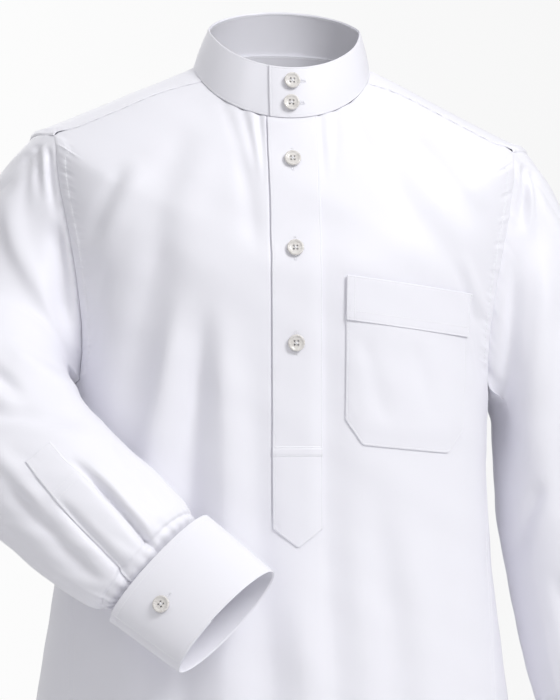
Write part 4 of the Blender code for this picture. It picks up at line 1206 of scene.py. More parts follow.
@dataclass
class Torso:
    """The front, the back, the yoke and the side gores."""

    room: Workroom
    hem: float = 0.02

    def even(self, first: str, last: str, step: float, chest_x: float) -> Array:
        """Places between two sections at even steps down a column of the front.

        Args:
            first: The section to start at.
            last: The section to end before.
            step: The distance wanted between places.
            chest_x: The column.

        Returns:
            The places.
        """
        fine = np.linspace(PLACES[first], PLACES[last], 400)
        along = arc(self.room.body.plain(fine, self.room.body.column(fine, np.array(chest_x))))
        return np.interp(np.arange(0, along[-1] - step / 3, step), along, fine)

    def front(self) -> None:
        """Builds the front panel."""
        body = self.room.body
        rows = np.concatenate([
            self.even("neck", "shoulder_corner", 0.003, 0.12), self.even("shoulder_corner", "armpit", 0.0021, 0.178),
            self.even("armpit", "placket_tip", 0.003, 0.1), self.even("placket_tip", "hip", 0.005, 0.1),
            self.even("hip", "hem", 0.015, 0.1), [PLACES["hem"]],
        ])
        slot_right, slot_left = PLACKET_RIGHT + PLACKET_LAP, PLACKET_LEFT - PLACKET_LAP
        left_part = graded([(-CHEST_EDGE, 0.0007), (-CHEST_EDGE + 0.004, 0.0012), (-CHEST_EDGE + 0.006, 0.0007),
                            (-CHEST_EDGE + 0.0125, 0.0007), (-CHEST_EDGE + 0.017, 0.0012), (-0.15, 0.003),
                            (-0.06, 0.003), (-0.03, 0.0012), (PLACKET_RIGHT, 0.0009), (slot_right, 0.0025)])
        right_part = graded([(slot_left, 0.0025), (PLACKET_LEFT, 0.0009), (0.03, 0.0014), (0.055, 0.0032),
                             (0.14, 0.0032), (CHEST_EDGE - 0.017, 0.0012), (CHEST_EDGE - 0.0125, 0.0007),
                             (CHEST_EDGE - 0.006, 0.0007), (CHEST_EDGE - 0.004, 0.0012), (CHEST_EDGE, 0.0007)])
        columns = np.concatenate([left_part, [-0.006, 0.0015, 0.009], right_part])
        angle = body.column(rows[:, None], columns[None])
        patch = Patch(*body.patch(rows[:, None], angle))
        lift = np.zeros(angle.shape)
        arm = smooth((rows - 3.9) / 0.15) * smooth((PLACES["armpit"] + 0.1 - rows) / 0.2)
        top = 1 - smooth((rows - 3.9) / 0.15)
        side = 1 - top - arm
        for edge, seed in ((Edge.FIRST_COLUMN, 11), (Edge.LAST_COLUMN, 12)):
            inward, along = patch.from_edge(edge)
            relief = (arm[:, None] * felled(inward, along, seed) + top[:, None] * plain_seam(inward, along, seed)
                      + side[:, None] * plain_seam(inward, along, seed + 20))
            lift += patch.back_from(edge, relief)
        inward, along = patch.from_edge(Edge.FIRST_ROW)
        neck = 0.0003 * smooth(inward / 0.004) * np.exp(-inward / 0.009) * waves(along, (0.008, 0.013, 0.021), 4)
        lift += patch.back_from(Edge.FIRST_ROW, neck)
        x = patch.points[..., 0]
        beside = np.exp(-(((x - PLACKET_RIGHT) / 0.0011) ** 2)) * smooth((PLACES["placket_side"] + 0.1 - rows) / 0.3)[:, None]
        lift -= 0.0011 * beside
        patch = patch.raised(lift)
        middles_row = (rows[:-1] + rows[1:]) / 2
        middles = (columns[:-1] + columns[1:]) / 2
        slot = (middles > slot_right) & (middles < slot_left)
        keep = ~((middles_row < PLACES["placket_side"] - 0.5)[:, None] & slot[None])
        sewing = self.room.stitching("front_panel")
        armhole = np.flatnonzero((rows >= 3.95) & (rows <= PLACES["armpit"]))
        below = np.flatnonzero(rows >= PLACES["armpit"])
        for edge in (Edge.FIRST_COLUMN, Edge.LAST_COLUMN):
            sewing.run(*patch.inset(edge, FELL - 0.0012, slice(armhole[0], armhole[-1] + 1)))
            sewing.run(*patch.inset(edge, 0.0016, slice(below[0], below[-1] + 1)))
        sewing.run(*patch.inset(Edge.LAST_ROW, self.hem))
        self.room.cloth("front_panel", patch, WALL, (0.52, 1.42), Held.HUNG, ["yoke", "collar_band"], sewing,
                        area=0.62, keep=keep)

    def yoke(self) -> None:
        """Builds the yoke, which runs over both shoulders from one front seam to the other."""
        body = self.room.body
        half = np.concatenate([graded([(0.0, 0.02), (0.35, 0.035), (0.8, 0.085), (3.6, 0.085), (4.0, 0.055)]),
                               graded([(4.0, 0.05), (8.0, 0.12)])[1:]])
        shares = graded([(0.0, 0.02), (0.9, 0.02), (1.0, 0.008)])[:, None]
        left = body.yoke_way(half[None], shares, Side.LEFT)
        right = body.yoke_way(half[None, -2::-1], shares, Side.RIGHT)
        places = np.concatenate([left[0], right[0]], axis=1)
        angles = np.concatenate([left[1], right[1] + 2 * math.pi], axis=1)
        patch = Patch(*body.patch(places, angles))
        lift = np.zeros(places.shape)
        for edge, seed in ((Edge.FIRST_COLUMN, 31), (Edge.LAST_COLUMN, 32)):
            inward, along = patch.from_edge(edge)
            lift += patch.back_from(edge, lapped(inward, along, YOKE_STITCH, seed))
        inward, along = patch.from_edge(Edge.LAST_ROW)
        column = np.concatenate([half, half[-2::-1]])
        armhole = smooth((YOKE_CORNER + 0.15 - column) / 0.4)[:, None]
        relief = armhole * felled(inward, along, 33) + (1 - armhole) * lapped(inward, along, YOKE_STITCH, 34)
        lift += patch.back_from(Edge.LAST_ROW, relief)
        patch = patch.raised(lift)
        sewing = self.room.stitching("yoke")
        for edge in (Edge.FIRST_COLUMN, Edge.LAST_COLUMN):
            sewing.run(*patch.inset(edge, YOKE_STITCH))
            sewing.run(*patch.inset(edge, 0.0012))
        corner = int(np.searchsorted(half, YOKE_CORNER))
        last = patch.points.shape[1] - 1
        sewing.run(*patch.inset(Edge.LAST_ROW, FELL - 0.0012, slice(0, corner + 1)))
        sewing.run(*patch.inset(Edge.LAST_ROW, FELL - 0.0012, slice(last - corner, last + 1)))
        for inset in (0.0012, YOKE_STITCH):
            sewing.run(*patch.inset(Edge.LAST_ROW, inset, slice(corner, last - corner + 1)))
        self.room.cloth("yoke", patch, WALL, (0.5, 0.24), Held.HUNG, ["back_panel", "front_panel"], sewing, area=0.085)

    def back(self) -> None:
        """Builds the back panel."""
        body = self.room.body
        share = graded([(-1.0, 0.006), (-0.9, 0.007), (-0.8, 0.018), (0.8, 0.018), (0.9, 0.007), (1.0, 0.006)])
        table = np.linspace(YOKE_CORNER, 8, 200)
        seam_place, seam_angle = body.yoke_way(table, np.ones(200), Side.LEFT)
        seam_x = body.plain(seam_place, seam_angle)[:, 0]
        order = np.argsort(seam_x)
        column = np.interp(np.abs(share) * seam_x.max(), seam_x[order], table[order])
        top_place, top_angle = body.yoke_way(column, np.ones(len(share)), Side.LEFT)
        rest = np.concatenate([
            self.even("arm_upper", "armpit", 0.0034, 0.15), self.even("armpit", "hip", 0.006, 0.1),
            self.even("hip", "hem", 0.016, 0.1), [PLACES["hem"]],
        ])
        first_angle = body.back_way(rest[0] + 0 * share, share)
        blend = np.linspace(0, 1, 13)[:-1, None]
        places = np.concatenate([top_place + (rest[0] - top_place) * blend, rest[:, None] + 0 * share[None]])
        angles = np.concatenate([
            top_angle + (first_angle - top_angle) * blend, body.back_way(rest[:, None] + 0 * share[None], share[None]),
        ])
        patch = Patch(*body.patch(places, np.where(share < 0, -angles, angles)))
        lift = np.zeros(places.shape)
        rows = np.concatenate([np.full(12, 5.8), rest])
        arm = smooth((PLACES["armpit"] + 0.1 - rows) / 0.2)[:, None]
        for edge, seed in ((Edge.FIRST_COLUMN, 41), (Edge.LAST_COLUMN, 42)):
            inward, along = patch.from_edge(edge)
            lift += patch.back_from(edge, arm * felled(inward, along, seed) + (1 - arm) * plain_seam(inward, along, seed))
        inward, along = patch.from_edge(Edge.FIRST_ROW)
        lift += patch.back_from(Edge.FIRST_ROW, plain_seam(inward, along, 43))
        patch = patch.raised(lift)
        sewing = self.room.stitching("back_panel")
        armhole = np.flatnonzero(rows <= PLACES["armpit"])[-1] + 1
        for edge in (Edge.FIRST_COLUMN, Edge.LAST_COLUMN):
            sewing.run(*patch.inset(edge, FELL - 0.0012, slice(0, armhole)))
            sewing.run(*patch.inset(edge, 0.0016, slice(armhole, len(rows))))
        sewing.run(*patch.inset(Edge.LAST_ROW, self.hem))
        self.room.cloth("back_panel", patch, WALL, (0.5, 1.36), Held.HUNG, ["yoke"], sewing, area=0.61)

    def gores(self) -> None:
        """Builds the gore at each side, from the armpit to the hem."""
        body = self.room.body
        rows = np.concatenate([
            self.even("armpit", "hip", 0.006, 0.1), self.even("hip", "hem", 0.015, 0.1), [PLACES["hem"]],
        ])[:, None]
        first = body.angle(rows, body.size(rows, "front_x"))
        last = body.back_way(rows, np.ones_like(rows))
        way = graded([(0.0, 0.012), (0.12, 0.03), (0.88, 0.03), (1.0, 0.012)])[None]
        for side in Side:
            patch = Patch(*body.patch(rows, side.value * (first + (last - first) * way)))
            lift = np.zeros(patch.points.shape[:2])
            for edge, seed in ((Edge.FIRST_COLUMN, 51), (Edge.LAST_COLUMN, 52), (Edge.FIRST_ROW, 53)):
                inward, along = patch.from_edge(edge)
                lift += patch.back_from(edge, plain_seam(inward, along, seed))
            patch = patch.raised(lift)
            sewing = self.room.stitching(f"side_gore_{side.word}")
            for edge in (Edge.FIRST_COLUMN, Edge.LAST_COLUMN):
                sewing.run(*patch.inset(edge, 0.006))
            sewing.run(*patch.inset(Edge.LAST_ROW, self.hem))
            self.room.cloth(f"side_gore_{side.word}", patch, WALL, (0.38, 1.16), Held.HUNG,
                            ["front_panel", "back_panel"], sewing, area=0.3)

    def build(self) -> None:
        """Builds the body's panels."""
        self.front()
        self.yoke()
        self.back()
        self.gores()


@dataclass
class FrontPieces:
    """The placket with its button strip, and the chest pocket."""

    room: Workroom
    edge_stitch: float = 0.0016
    bars: tuple[float, float] = (0.3325, 0.3392)
    button_heights: tuple[float, ...] = (-0.087, -0.164, -0.244)
    pocket_lines: tuple[Point2, ...] = ((-0.1866, -0.2015), (-0.2245, -0.239), (-0.329, -0.34))

    def on_front(self, places: Array, chest_x: Array, base: float) -> Patch:
        """A patch that lies on the front panel.

        Args:
            places: Places down the body.
            chest_x: Columns across it.
            base: How far its outer face stands over the panel.

        Returns:
            The patch.
        """
        points, normals = self.room.body.patch(places, self.room.body.column(places, chest_x))
        return Patch.facing(points + normals * base, normals)

    def plackets(self) -> None:
        """Builds the pointed over placket and the button strip behind it."""
        columns = graded([(PLACKET_RIGHT, 0.0003), (PLACKET_RIGHT + 0.0012, 0.0004), (PLACKET_MIDDLE, 0.0024),
                          (PLACKET_LEFT - 0.0012, 0.0004), (PLACKET_LEFT, 0.0003)])
        half = (PLACKET_LEFT - PLACKET_RIGHT) / 2
        slant = np.abs(columns - PLACKET_MIDDLE) / half
        body = self.room.body
        fine = np.linspace(0, PLACES["hip"], 900)
        heights = -body.plain(fine, np.zeros_like(fine))[:, 2]
        straight = graded([(0.0512, 0.0008), (0.056, 0.002), (0.062, 0.003), (0.328, 0.0026), (0.33, 0.0004), (0.341, 0.0004),
                           (0.343, 0.0026), (0.37, 0.0026)])
        tip = 0.417 - 0.016 * slant
        last = graded([(0.0, 0.07), (0.93, 0.045), (1.0, 0.012)])[1:, None]
        down = np.concatenate([straight[:, None] + 0 * tip[None], 0.37 + (tip - 0.37)[None] * last])
        places = np.interp(down, heights, fine)
        base = LAY + STRIP
        patch = self.on_front(places, np.broadcast_to(columns, places.shape), base)
        patch = patch.raised(-0.0009 * (1 - smooth((down - 0.0512) / 0.0045)))
        tuck = 0.0006 * smooth((down - 0.3312) / 0.0007) * smooth((0.3402 - down) / 0.0009)
        groove = sum(np.exp(-(((down - z) / 0.0007) ** 2)) for z in self.bars)
        patch = patch.raised(tuck - 0.0004 * groove)
        edges = (Edge.FIRST_COLUMN, Edge.LAST_COLUMN, Edge.LAST_ROW)
        patch = edged(patch, STRIP, dict.fromkeys(edges, self.edge_stitch), 61, 0.0001, groove=0.00012)
        sewing = self.room.stitching("placket_over")
        for edge in edges:
            sewing.run(*patch.inset(edge, self.edge_stitch))
        for z in self.bars:
            row = int(np.argmin(np.abs(down[:, 0] - z)))
            sewing.run(patch.points[row], patch.normals[row])
        for number, z in enumerate(self.button_heights, 1):
            centre, out, down_way = self.face_at(patch, 0.0, z)
            sewing.buttonhole(centre, down_way, out, 0.0195)
            Button(self.room, f"button_front_{number}").build(centre + out * 0.001, out, down_way)
        self.room.cloth("placket_over", patch, STRIP, (0.043, 0.372), Held.STRETCHED, ["front_panel"], sewing)
        short = places[:-len(last)]
        under = self.on_front(short, np.broadcast_to(columns, short.shape), -WALL - LAY)
        self.room.cloth("placket_under", under, STRIP, (0.043, 0.335), Held.STRETCHED, ["front_panel"])

    @staticmethod
    def face_at(patch: Patch, x: float, z: float) -> tuple[Array, Array, Array]:
        """The place on a patch nearest to x and z.

        Args:
            patch: The patch.
            x: Distance across.
            z: Height.

        Returns:
            The point, the direction out of the cloth and the direction down it.
        """
        far = (patch.points[..., 0] - x) ** 2 + (patch.points[..., 2] - z) ** 2
        row, column = np.unravel_index(np.argmin(far), far.shape)
        point, out = patch.points[row, column].copy(), patch.normals[row, column]
        shift = np.array((x - point[0], 0, z - point[2]))
        point += shift - out * (shift @ out)
        down = unit(patch.points[min(row + 2, len(far) - 1), column] - patch.points[row, column])
        return point, out, unit(down - out * (down @ out))

    def pocket(self) -> None:
        """Builds the pocket's pouch and the wide band over its mouth."""
        columns = graded([(POCKET_INNER, 0.0003), (POCKET_INNER + 0.002, 0.0007), (POCKET_INNER + 0.01, 0.0022),
                          (POCKET_OUTER - 0.01, 0.0022), (POCKET_OUTER - 0.002, 0.0007), (POCKET_OUTER, 0.0003)])
        body = self.room.body
        inside = np.minimum(columns - POCKET_INNER, POCKET_OUTER - columns)
        across = (columns - POCKET_INNER) / (POCKET_OUTER - POCKET_INNER)
        lip, hem, end = self.pocket_lines
        cut = 0.0205 * (1 - np.clip(inside / POCKET_CUT, 0, 1))

        def line(start: float, finish: float, raised: Array | float = 0.0) -> Array:
            """Places along a straight line across the front, from one height to another."""
            levels = start + (finish - start) * across + raised
            return np.array([body.place_at(x, z) for x, z in zip(columns, levels)])

        mouth, bottom = line(*lip), line(*end, cut)
        down = graded([(0.0, 0.012), (0.95, 0.018), (0.985, 0.006), (1.0, 0.003)])[:, None]
        places = mouth + 0.05 + (bottom - mouth - 0.05) * down
        patch = self.on_front(places, np.broadcast_to(columns, places.shape), LAY + STRIP)
        slack = np.sin(math.pi * np.clip(inside / (POCKET_OUTER - POCKET_INNER), 0, 0.5))[None] ** 0.6
        patch = patch.raised(0.0012 * slack * smooth(down * 3) * smooth((1 - down) * 6))
        edges = (Edge.FIRST_COLUMN, Edge.LAST_COLUMN, Edge.LAST_ROW)
        patch = edged(patch, STRIP, dict.fromkeys(edges, self.edge_stitch), 71, 0.0001, groove=0.00012)
        sewing = self.room.stitching("chest_pocket")
        below = int(np.argmin(np.abs(patch.points[:, 0, 2] - hem[0])))
        sewing.run(*patch.inset(Edge.FIRST_COLUMN, self.edge_stitch, slice(below, None)))
        sewing.run(*patch.inset(Edge.LAST_COLUMN, self.edge_stitch, slice(below, None)))
        sewing.run(*patch.inset(Edge.LAST_ROW, self.edge_stitch))
        self.room.cloth("chest_pocket", patch, STRIP, (0.1115, 0.15), Held.HUNG, ["front_panel"], sewing)
        rows = graded([(0.0, 0.006), (0.06, 0.02), (0.5, 0.06), (0.94, 0.02), (1.0, 0.006)])[:, None]
        places = mouth + (line(*hem) - mouth) * rows
        band = self.on_front(places, np.broadcast_to(columns, places.shape), LAY * 2 + STRIP * 2.6)
        band = edged(band, STRIP, dict.fromkeys(Edge, self.edge_stitch), 75, 0.0001, groove=0.00012)
        sewing = self.room.stitching("pocket_band")
        for inset in (self.edge_stitch, 0.0072):
            sewing.run(*band.inset(Edge.FIRST_COLUMN, inset))
        sewing.run(*band.inset(Edge.LAST_COLUMN, self.edge_stitch))
        sewing.run(*band.inset(Edge.LAST_ROW, 0.0085))
        self.room.cloth("pocket_band", band, STRIP * 1.4, (0.1115, 0.042), Held.FOLDED, ["chest_pocket"], sewing)

    def build(self) -> None:
        """Builds the pieces sewn on the front."""
        self.plackets()
        self.pocket()


@dataclass
class Button:
    """A four-hole shell button, sewn on with a crossed thread."""

    room: Workroom
    name: str
    radius: float = 0.0072
    thick: float = 0.0026
    hole: float = 0.00085
    offset: float = 0.0015
    sides: int = 48

    def disc(self) -> bpy.types.Mesh:
        """The button lying flat at the origin, with its holes cut.

        Returns:
            Its mesh.
        """
        profile = ((0.72, 0.0), (0.9, 0.1), (0.985, 0.32), (1.0, 0.55), (0.985, 0.8), (0.93, 0.96), (0.86, 1.0),
                   (0.78, 0.96), (0.7, 0.8), (0.6, 0.7), (0.45, 0.66))
        form = bmesh.new()
        rings = [
            [form.verts.new((share * self.radius * math.cos(turn), share * self.radius * math.sin(turn), high * self.thick))
             for turn in np.linspace(0, 2 * math.pi, self.sides, endpoint=False)]
            for share, high in profile
        ]
        for low, high in zip(rings, rings[1:]):
            for i in range(self.sides):
                j = (i + 1) % self.sides
                form.faces.new((low[i], low[j], high[j], high[i]))
        form.faces.new(rings[0][::-1])
        form.faces.new(rings[-1])
        bmesh.ops.recalc_face_normals(form, faces=form.faces)
        whole = bpy.data.meshes.new("button_blank")
        form.to_mesh(whole)
        form.free()
        pins = bmesh.new()
        for x in (-self.offset, self.offset):
            for y in (-self.offset, self.offset):
                bmesh.ops.create_cone(pins, cap_ends=True, segments=14, radius1=self.hole, radius2=self.hole,
                                      depth=4 * self.thick, matrix=Matrix.Translation((x, y, 0)))
        drill = bpy.data.meshes.new("button_drill")
        pins.to_mesh(drill)
        pins.free()
        blank, tool = bpy.data.objects.new("blank", whole), bpy.data.objects.new("tool", drill)
        for item in (blank, tool):
            bpy.context.scene.collection.objects.link(item)
        cut = blank.modifiers.new("holes", "BOOLEAN")
        cut.operation, cut.solver, cut.object = "DIFFERENCE", "EXACT", tool
        bpy.context.view_layer.update()
        made = bpy.data.meshes.new_from_object(blank.evaluated_get(bpy.context.evaluated_depsgraph_get()))
        for item in (blank, tool):
            bpy.data.objects.remove(item)
        return made

    def build(self, centre: Array, out: Array, up: Array) -> bpy.types.Object:
        """Sews the button on.

        Args:
            centre: The middle of its back.
            out: The direction it faces.
            up: A direction in the cloth that its holes line up with.

        Returns:
            The button.
        """
        out = unit(out)
        up = unit(up - out * (up @ out))
        mesh = self.disc()
        place = np.eye(4)
        place[:3, 0], place[:3, 1], place[:3, 2], place[:3, 3] = np.cross(up, out), up, out, centre
        mesh.transform(Matrix(place.tolist()))
        mesh.polygons.foreach_set("use_smooth", np.ones(len(mesh.polygons), bool))
        mesh.set_sharp_from_angle(angle=math.radians(40))
        mesh.materials.clear()
        mesh.materials.append(self.room.shell)
        piece = bpy.data.objects.new(f"shell_{self.name}", mesh)
        bpy.context.scene.collection.objects.link(piece)
        self.room.dress(piece, self.name, "shell_button")
        thread = Stitching(f"thread_{self.name}", self.room.thread)
        face = centre + out * self.thick * 0.7
        across = np.cross(up, out)
        for sign in (-1, 1):
            way = unit(up + sign * across) * (self.offset * 1.3)
            thread.dashes((face - way)[None], (face + way)[None], out[None], 0.0004, 0.00045)
        foot = centre - out * 0.0009
        for way in (up, across):
            thread.dashes((foot - way * 0.0012)[None], (foot + way * 0.0012)[None], out[None], 0.0012, 0.0011)
        self.room.dress(thread.piece(), None, "white_cotton")
        return piece


@dataclass
class Collar:
    """The stand collar, buttoned at the front with its left end over its right."""

    room: Workroom
    heights: tuple[float, float] = (0.72, 0.29)
    end_x: float = 0.0177
    edge_stitch: float = 0.0018

    def point(self, angle: Array, height: Array) -> Array:
        """The collar's outer face.

        Args:
            angle: Angles from the middle of the front.
            height: Shares of its height.

        Returns:
            The points.
        """
        angle, height = np.broadcast_arrays(np.asarray(angle, float), np.asarray(height, float))
        base = BodyForm.oval(self.room.body.track.at(np.zeros(angle.shape)), angle) + np.array((0, 0, COLLAR_RAISE))
        top = BodyForm.oval(np.broadcast_to(np.array(COLLAR_TOP), (*angle.shape, 9)), angle)
        top = top + np.array((COLLAR_SWAY, 0, 0))
        return base + (top - base) * height[..., None]

    def tape(self) -> None:
        """Builds the tape that covers the neck seam inside the back of the collar."""
        angles = graded([(1.15, 0.02), (1.2, 0.035), (5.08, 0.035), (5.13, 0.02)])[None]
        heights = graded([(-0.32, 0.02), (-0.28, 0.03), (0.02, 0.03), (0.05, 0.015)])[:, None]
        ring = self.point(angles, heights)
        out = unit((ring - ring.mean(axis=1, keepdims=True)) * (1, 1, 0))
        patch = Patch.facing(ring - out * (STIFF + LAY), out)
        inner = Patch(patch.points - patch.normals * STRIP, -patch.normals)
        sewing = self.room.stitching("neck_tape")
        for edge in (Edge.FIRST_ROW, Edge.LAST_ROW):
            sewing.run(*inner.inset(edge, self.edge_stitch))
        piece = self.room.dress(shell("cloth_neck_tape", patch, STRIP, self.room.cotton), None, "white_cotton")
        rows = self.room.dress(sewing.piece(), None, "white_cotton")

    def build(self) -> None:
        """Builds the collar and its two buttons."""
        lap = math.asin(COLLAR_LAP / float(self.room.body.size(0.0, "width")))
        angles = graded([(-lap, 0.003), (-lap + 0.03, 0.01), (0.2, 0.03), (2 * math.pi - 0.2, 0.03),
                         (2 * math.pi + lap - 0.03, 0.01), (2 * math.pi + lap, 0.003)])[None]
        heights = graded([(0.0, 0.006), (0.05, 0.018), (0.5, 0.06), (0.95, 0.018), (1.0, 0.006)])[:, None]
        upright = np.arcsin((self.end_x + COLLAR_SWAY * heights) / (0.0775 - 0.011 * heights))
        angles = angles + (lap - upright) * smooth(1 - (angles + lap) / 0.45)
        ring = self.point(angles, heights + 0 * angles)
        away = (ring - ring.mean(axis=1, keepdims=True)) * (1, 1, 0)
        out = unit(away)
        under = smooth((angles - 2 * math.pi + 2.2 * lap) / lap)
        ring = ring - out * ((STIFF + LAY) * under)[..., None]
        bulge = 0.0006 + 0.0008 * np.sin(math.pi * heights) + 0.00025 * waves(angles * 0.08, (0.05, 0.11), 7)
        patch = Patch.facing(ring + out * bulge[..., None], out)
        stitches = dict.fromkeys(Edge, self.edge_stitch)
        patch = edged(patch, STIFF * 0.8, stitches, 80, 0.00006, groove=0.00014)
        inner = Patch(patch.points - patch.normals * STIFF, -patch.normals)
        sewing = self.room.stitching("collar_band")
        for face in (patch, inner):
            for edge in (Edge.FIRST_ROW, Edge.LAST_ROW):
                sewing.run(*face.inset(edge, self.edge_stitch))
        sewing.run(*patch.inset(Edge.FIRST_COLUMN, self.edge_stitch))
        self.tape()
        for number, height in enumerate(self.heights, 1):
            face = self.point(np.array(0.0), np.array(height))
            side = unit(self.point(np.array(0.05), np.array(height)) - face)
            up = unit(self.point(np.array(0.0), np.array(height + 0.1)) - face)
            normal = unit(np.cross(side, up))
            face = face + normal * (0.0006 + 0.0008 * math.sin(math.pi * height))
            sewing.buttonhole(face + side * 0.0035, side, normal, 0.015)
            Button(self.room, f"button_collar_{number}", radius=0.007).build(face + normal * 0.0009, normal, up)
        self.room.cloth("collar_band", patch, STIFF, (0.5, 0.046), Held.FOLDED, ["front_panel", "yoke"], sewing)


# ------------------------------------------------------------------------------------------- sleeves


@dataclass
class Sleeve:
    """One sleeve with its pleated head, its placket, and its buttoned cuff."""

    room: Workroom
    side: Side
    columns: int = 190
    cuff_lap: float = math.radians(58)
    button_turn: float = math.radians(44)
    button_place: float = 0.53

    def __post_init__(self) -> None:
        """Sets up the arm's form."""
        self.arm = ArmForm(self.side)
        right = self.side is Side.RIGHT
        self.lap = math.radians(18 if right else -110)
        self.vent_top = 3.25 if right else 2.3
        # the placket's middle, as places along the arm and angles round it
        self.vent_way = ((3.2, 3.8, 5.2, 6.9), (93.5, 90.5, 86.5, 78.0)) if right else ((2.2, 5.0), (-84.0, -84.0))
        self.creases = (RIGHT_SLEEVE_FRONT, RIGHT_SLEEVE_BACK) if right else (LEFT_SLEEVE_FRONT, LEFT_SLEEVE_BACK)

    def ring_angles(self, ring: Array) -> Array:
        """The angle round the arm of each point of the armhole: 0 on the shoulder, 180 degrees under the arm.

        Args:
            ring: The armhole's points.

        Returns:
            The angles.
        """
        count = len(ring)
        top, bottom = int(np.argmax(ring[:, 2])), int(np.argmin(ring[:, 2]))
        along = arc(np.vstack([ring, ring[:1]]))
        total = along[-1]
        position = (along[:-1] - along[top]) % total
        front = (along[bottom] - along[top]) % total
        angles = np.where(position <= front, math.pi * position / front,
                          math.pi * (1 + (position - front) / (total - front)))
        order = (np.arange(count) - top) % count
        return np.where(order == 0, 0.0, angles)

    def gathers(self, place: Array, angles: Array) -> Array:
        """The little pleats where the sleeve is gathered into its cuff.

        Args:
            place: Places along the arm.
            angles: Angles round it.

        Returns:
            The lift at each point.
        """
        rng = np.random.default_rng(90 + self.side.value)
        back = (self.arm.seam - place) * np.linalg.norm(
            self.arm.middle(np.array(self.arm.seam)) - self.arm.middle(np.array(self.arm.seam - 1)))
        lift = np.zeros(np.broadcast_shapes(place.shape, angles.shape))
        turn = 0.0
        while turn < 360:
            step = rng.uniform(8, 15)
            high, reach, long = rng.uniform(0.0014, 0.0028), rng.uniform(0.22, 0.34) * step, rng.uniform(0.006, 0.018)
            middle = math.radians(turn + step / 2)
            away = np.degrees(np.abs((angles - middle + math.pi) % (2 * math.pi) - math.pi)) / reach
            slip = np.exp(-np.maximum(back, 0) / long)
            lift = lift + high * slip * (np.exp(-(away**2)) - 0.35)
            turn += step
        return lift

    def vent_angle(self, place: Array) -> Array:
        """The angle of the sleeve placket's middle at places along the arm."""
        return np.radians(np.interp(place, *self.vent_way))

    def surface(self) -> tuple[Patch, Array, Array]:
        """The sleeve's outer face.

        Returns:
            The patch, the places of its rows on the arm and the angle of each column.
        """
        body = self.room.body
        ring_place, ring_turn = body.armhole(self.side, self.columns)
        ring, _ = body.patch(ring_place, ring_turn)
        angles = self.ring_angles(ring)
        first = self.arm.point(0.0, angles)
        along = self.arm.along(np.array(0.0))
        gap = first - ring
        reach = np.linalg.norm(gap, axis=1, keepdims=True)
        spring = np.maximum(0, np.cos(angles))[:, None] * HEAD_SPRING * np.array((self.side.value, 0, -0.45))
        leave = unit(unit(gap) + spring) * reach
        head = []
        shares = graded([(0.0, 0.008), (0.15, 0.014), (1.0, 0.022)])[:-1]
        for share in shares:
            h00 = (1 + 2 * share) * (1 - share) ** 2
            head.append(h00 * ring + share * (1 - share) ** 2 * leave + (1 - h00) * first
                        + share**2 * (share - 1) * along * reach)
        last = self.arm.seam + 0.05
        places = graded([(0.0, 0.045), (last - 0.9, 0.04), (last - 0.45, 0.024), (last - 0.14, 0.014), (last, 0.012)])
        limb = self.arm.point(places[:, None], angles[None])
        points = np.concatenate([np.array(head), limb])
        centre = np.concatenate([np.repeat(points[: len(head)].mean(axis=1, keepdims=True), 1, axis=1),
                                 self.arm.middle(places)[:, None]])
        patch = Patch.facing(points, points - centre, wrap=True)
        arm_place = np.concatenate([shares - 1, places])
        front = np.sin(angles)[None]
        lift = lift_of(self.creases[0], patch.points) * smooth((front + 0.05) / 0.35)
        lift += lift_of(self.creases[1], patch.points) * smooth((-front + 0.05) / 0.35)
        down = np.concatenate([np.zeros((1, self.columns)),
                               np.cumsum(np.linalg.norm(np.diff(points, axis=0), axis=2), axis=0)])
        lift *= smooth(down / 0.01) * smooth((self.arm.seam - arm_place) / 0.5)[:, None]
        lift += self.gathers(arm_place[:, None], angles[None]) * smooth((arm_place - 1) / 1.5)[:, None]
        round_it = np.linspace(0, arc(np.vstack([ring, ring[:1]]))[-1], self.columns, endpoint=False)
        lift += 0.00035 * waves(round_it, (0.0071, 0.0103, 0.0163), 97) * np.exp(-down / 0.014) * smooth(down / 0.002)
        lift -= 0.0002 * np.exp(-((down / 0.001) ** 2))
        lift += 0.0003 * waves(down + 0.5 * round_it, (0.035, 0.059, 0.083), 98) * smooth(down / 0.02)
        sizes = self.arm.track.at(np.clip(arm_place, 0, last))
        gather, end = self.arm.track.at(self.arm.seam - 1.0), self.arm.track.at(self.arm.seam)
        puff = 1 - (1 - np.clip(self.arm.seam - arm_place, 0, 1)) ** 9
        near = (arm_place > self.arm.seam - 1) * 1.0

        def half_width(section: Array) -> Array:
            """Half the width of sections of the arm."""
            return np.linalg.norm(section[..., 3:6] - section[..., :3], axis=-1) / 2

        deep = (end[6] + (gather[6] - end[6]) * puff - sizes[:, 6]) * near
        broad = (half_width(end) + (half_width(gather) - half_width(end)) * puff - half_width(sizes)) * near
        lift += deep[:, None] * np.sin(angles) ** 2 + broad[:, None] * np.cos(angles) ** 2
        lift += (0.0058 * smooth((arm_place - self.arm.seam + 0.6) / 0.45)
                 - 0.0085 * smooth((arm_place - self.arm.seam + 0.012) / 0.035))[:, None]
        return patch.raised(lift), arm_place, angles

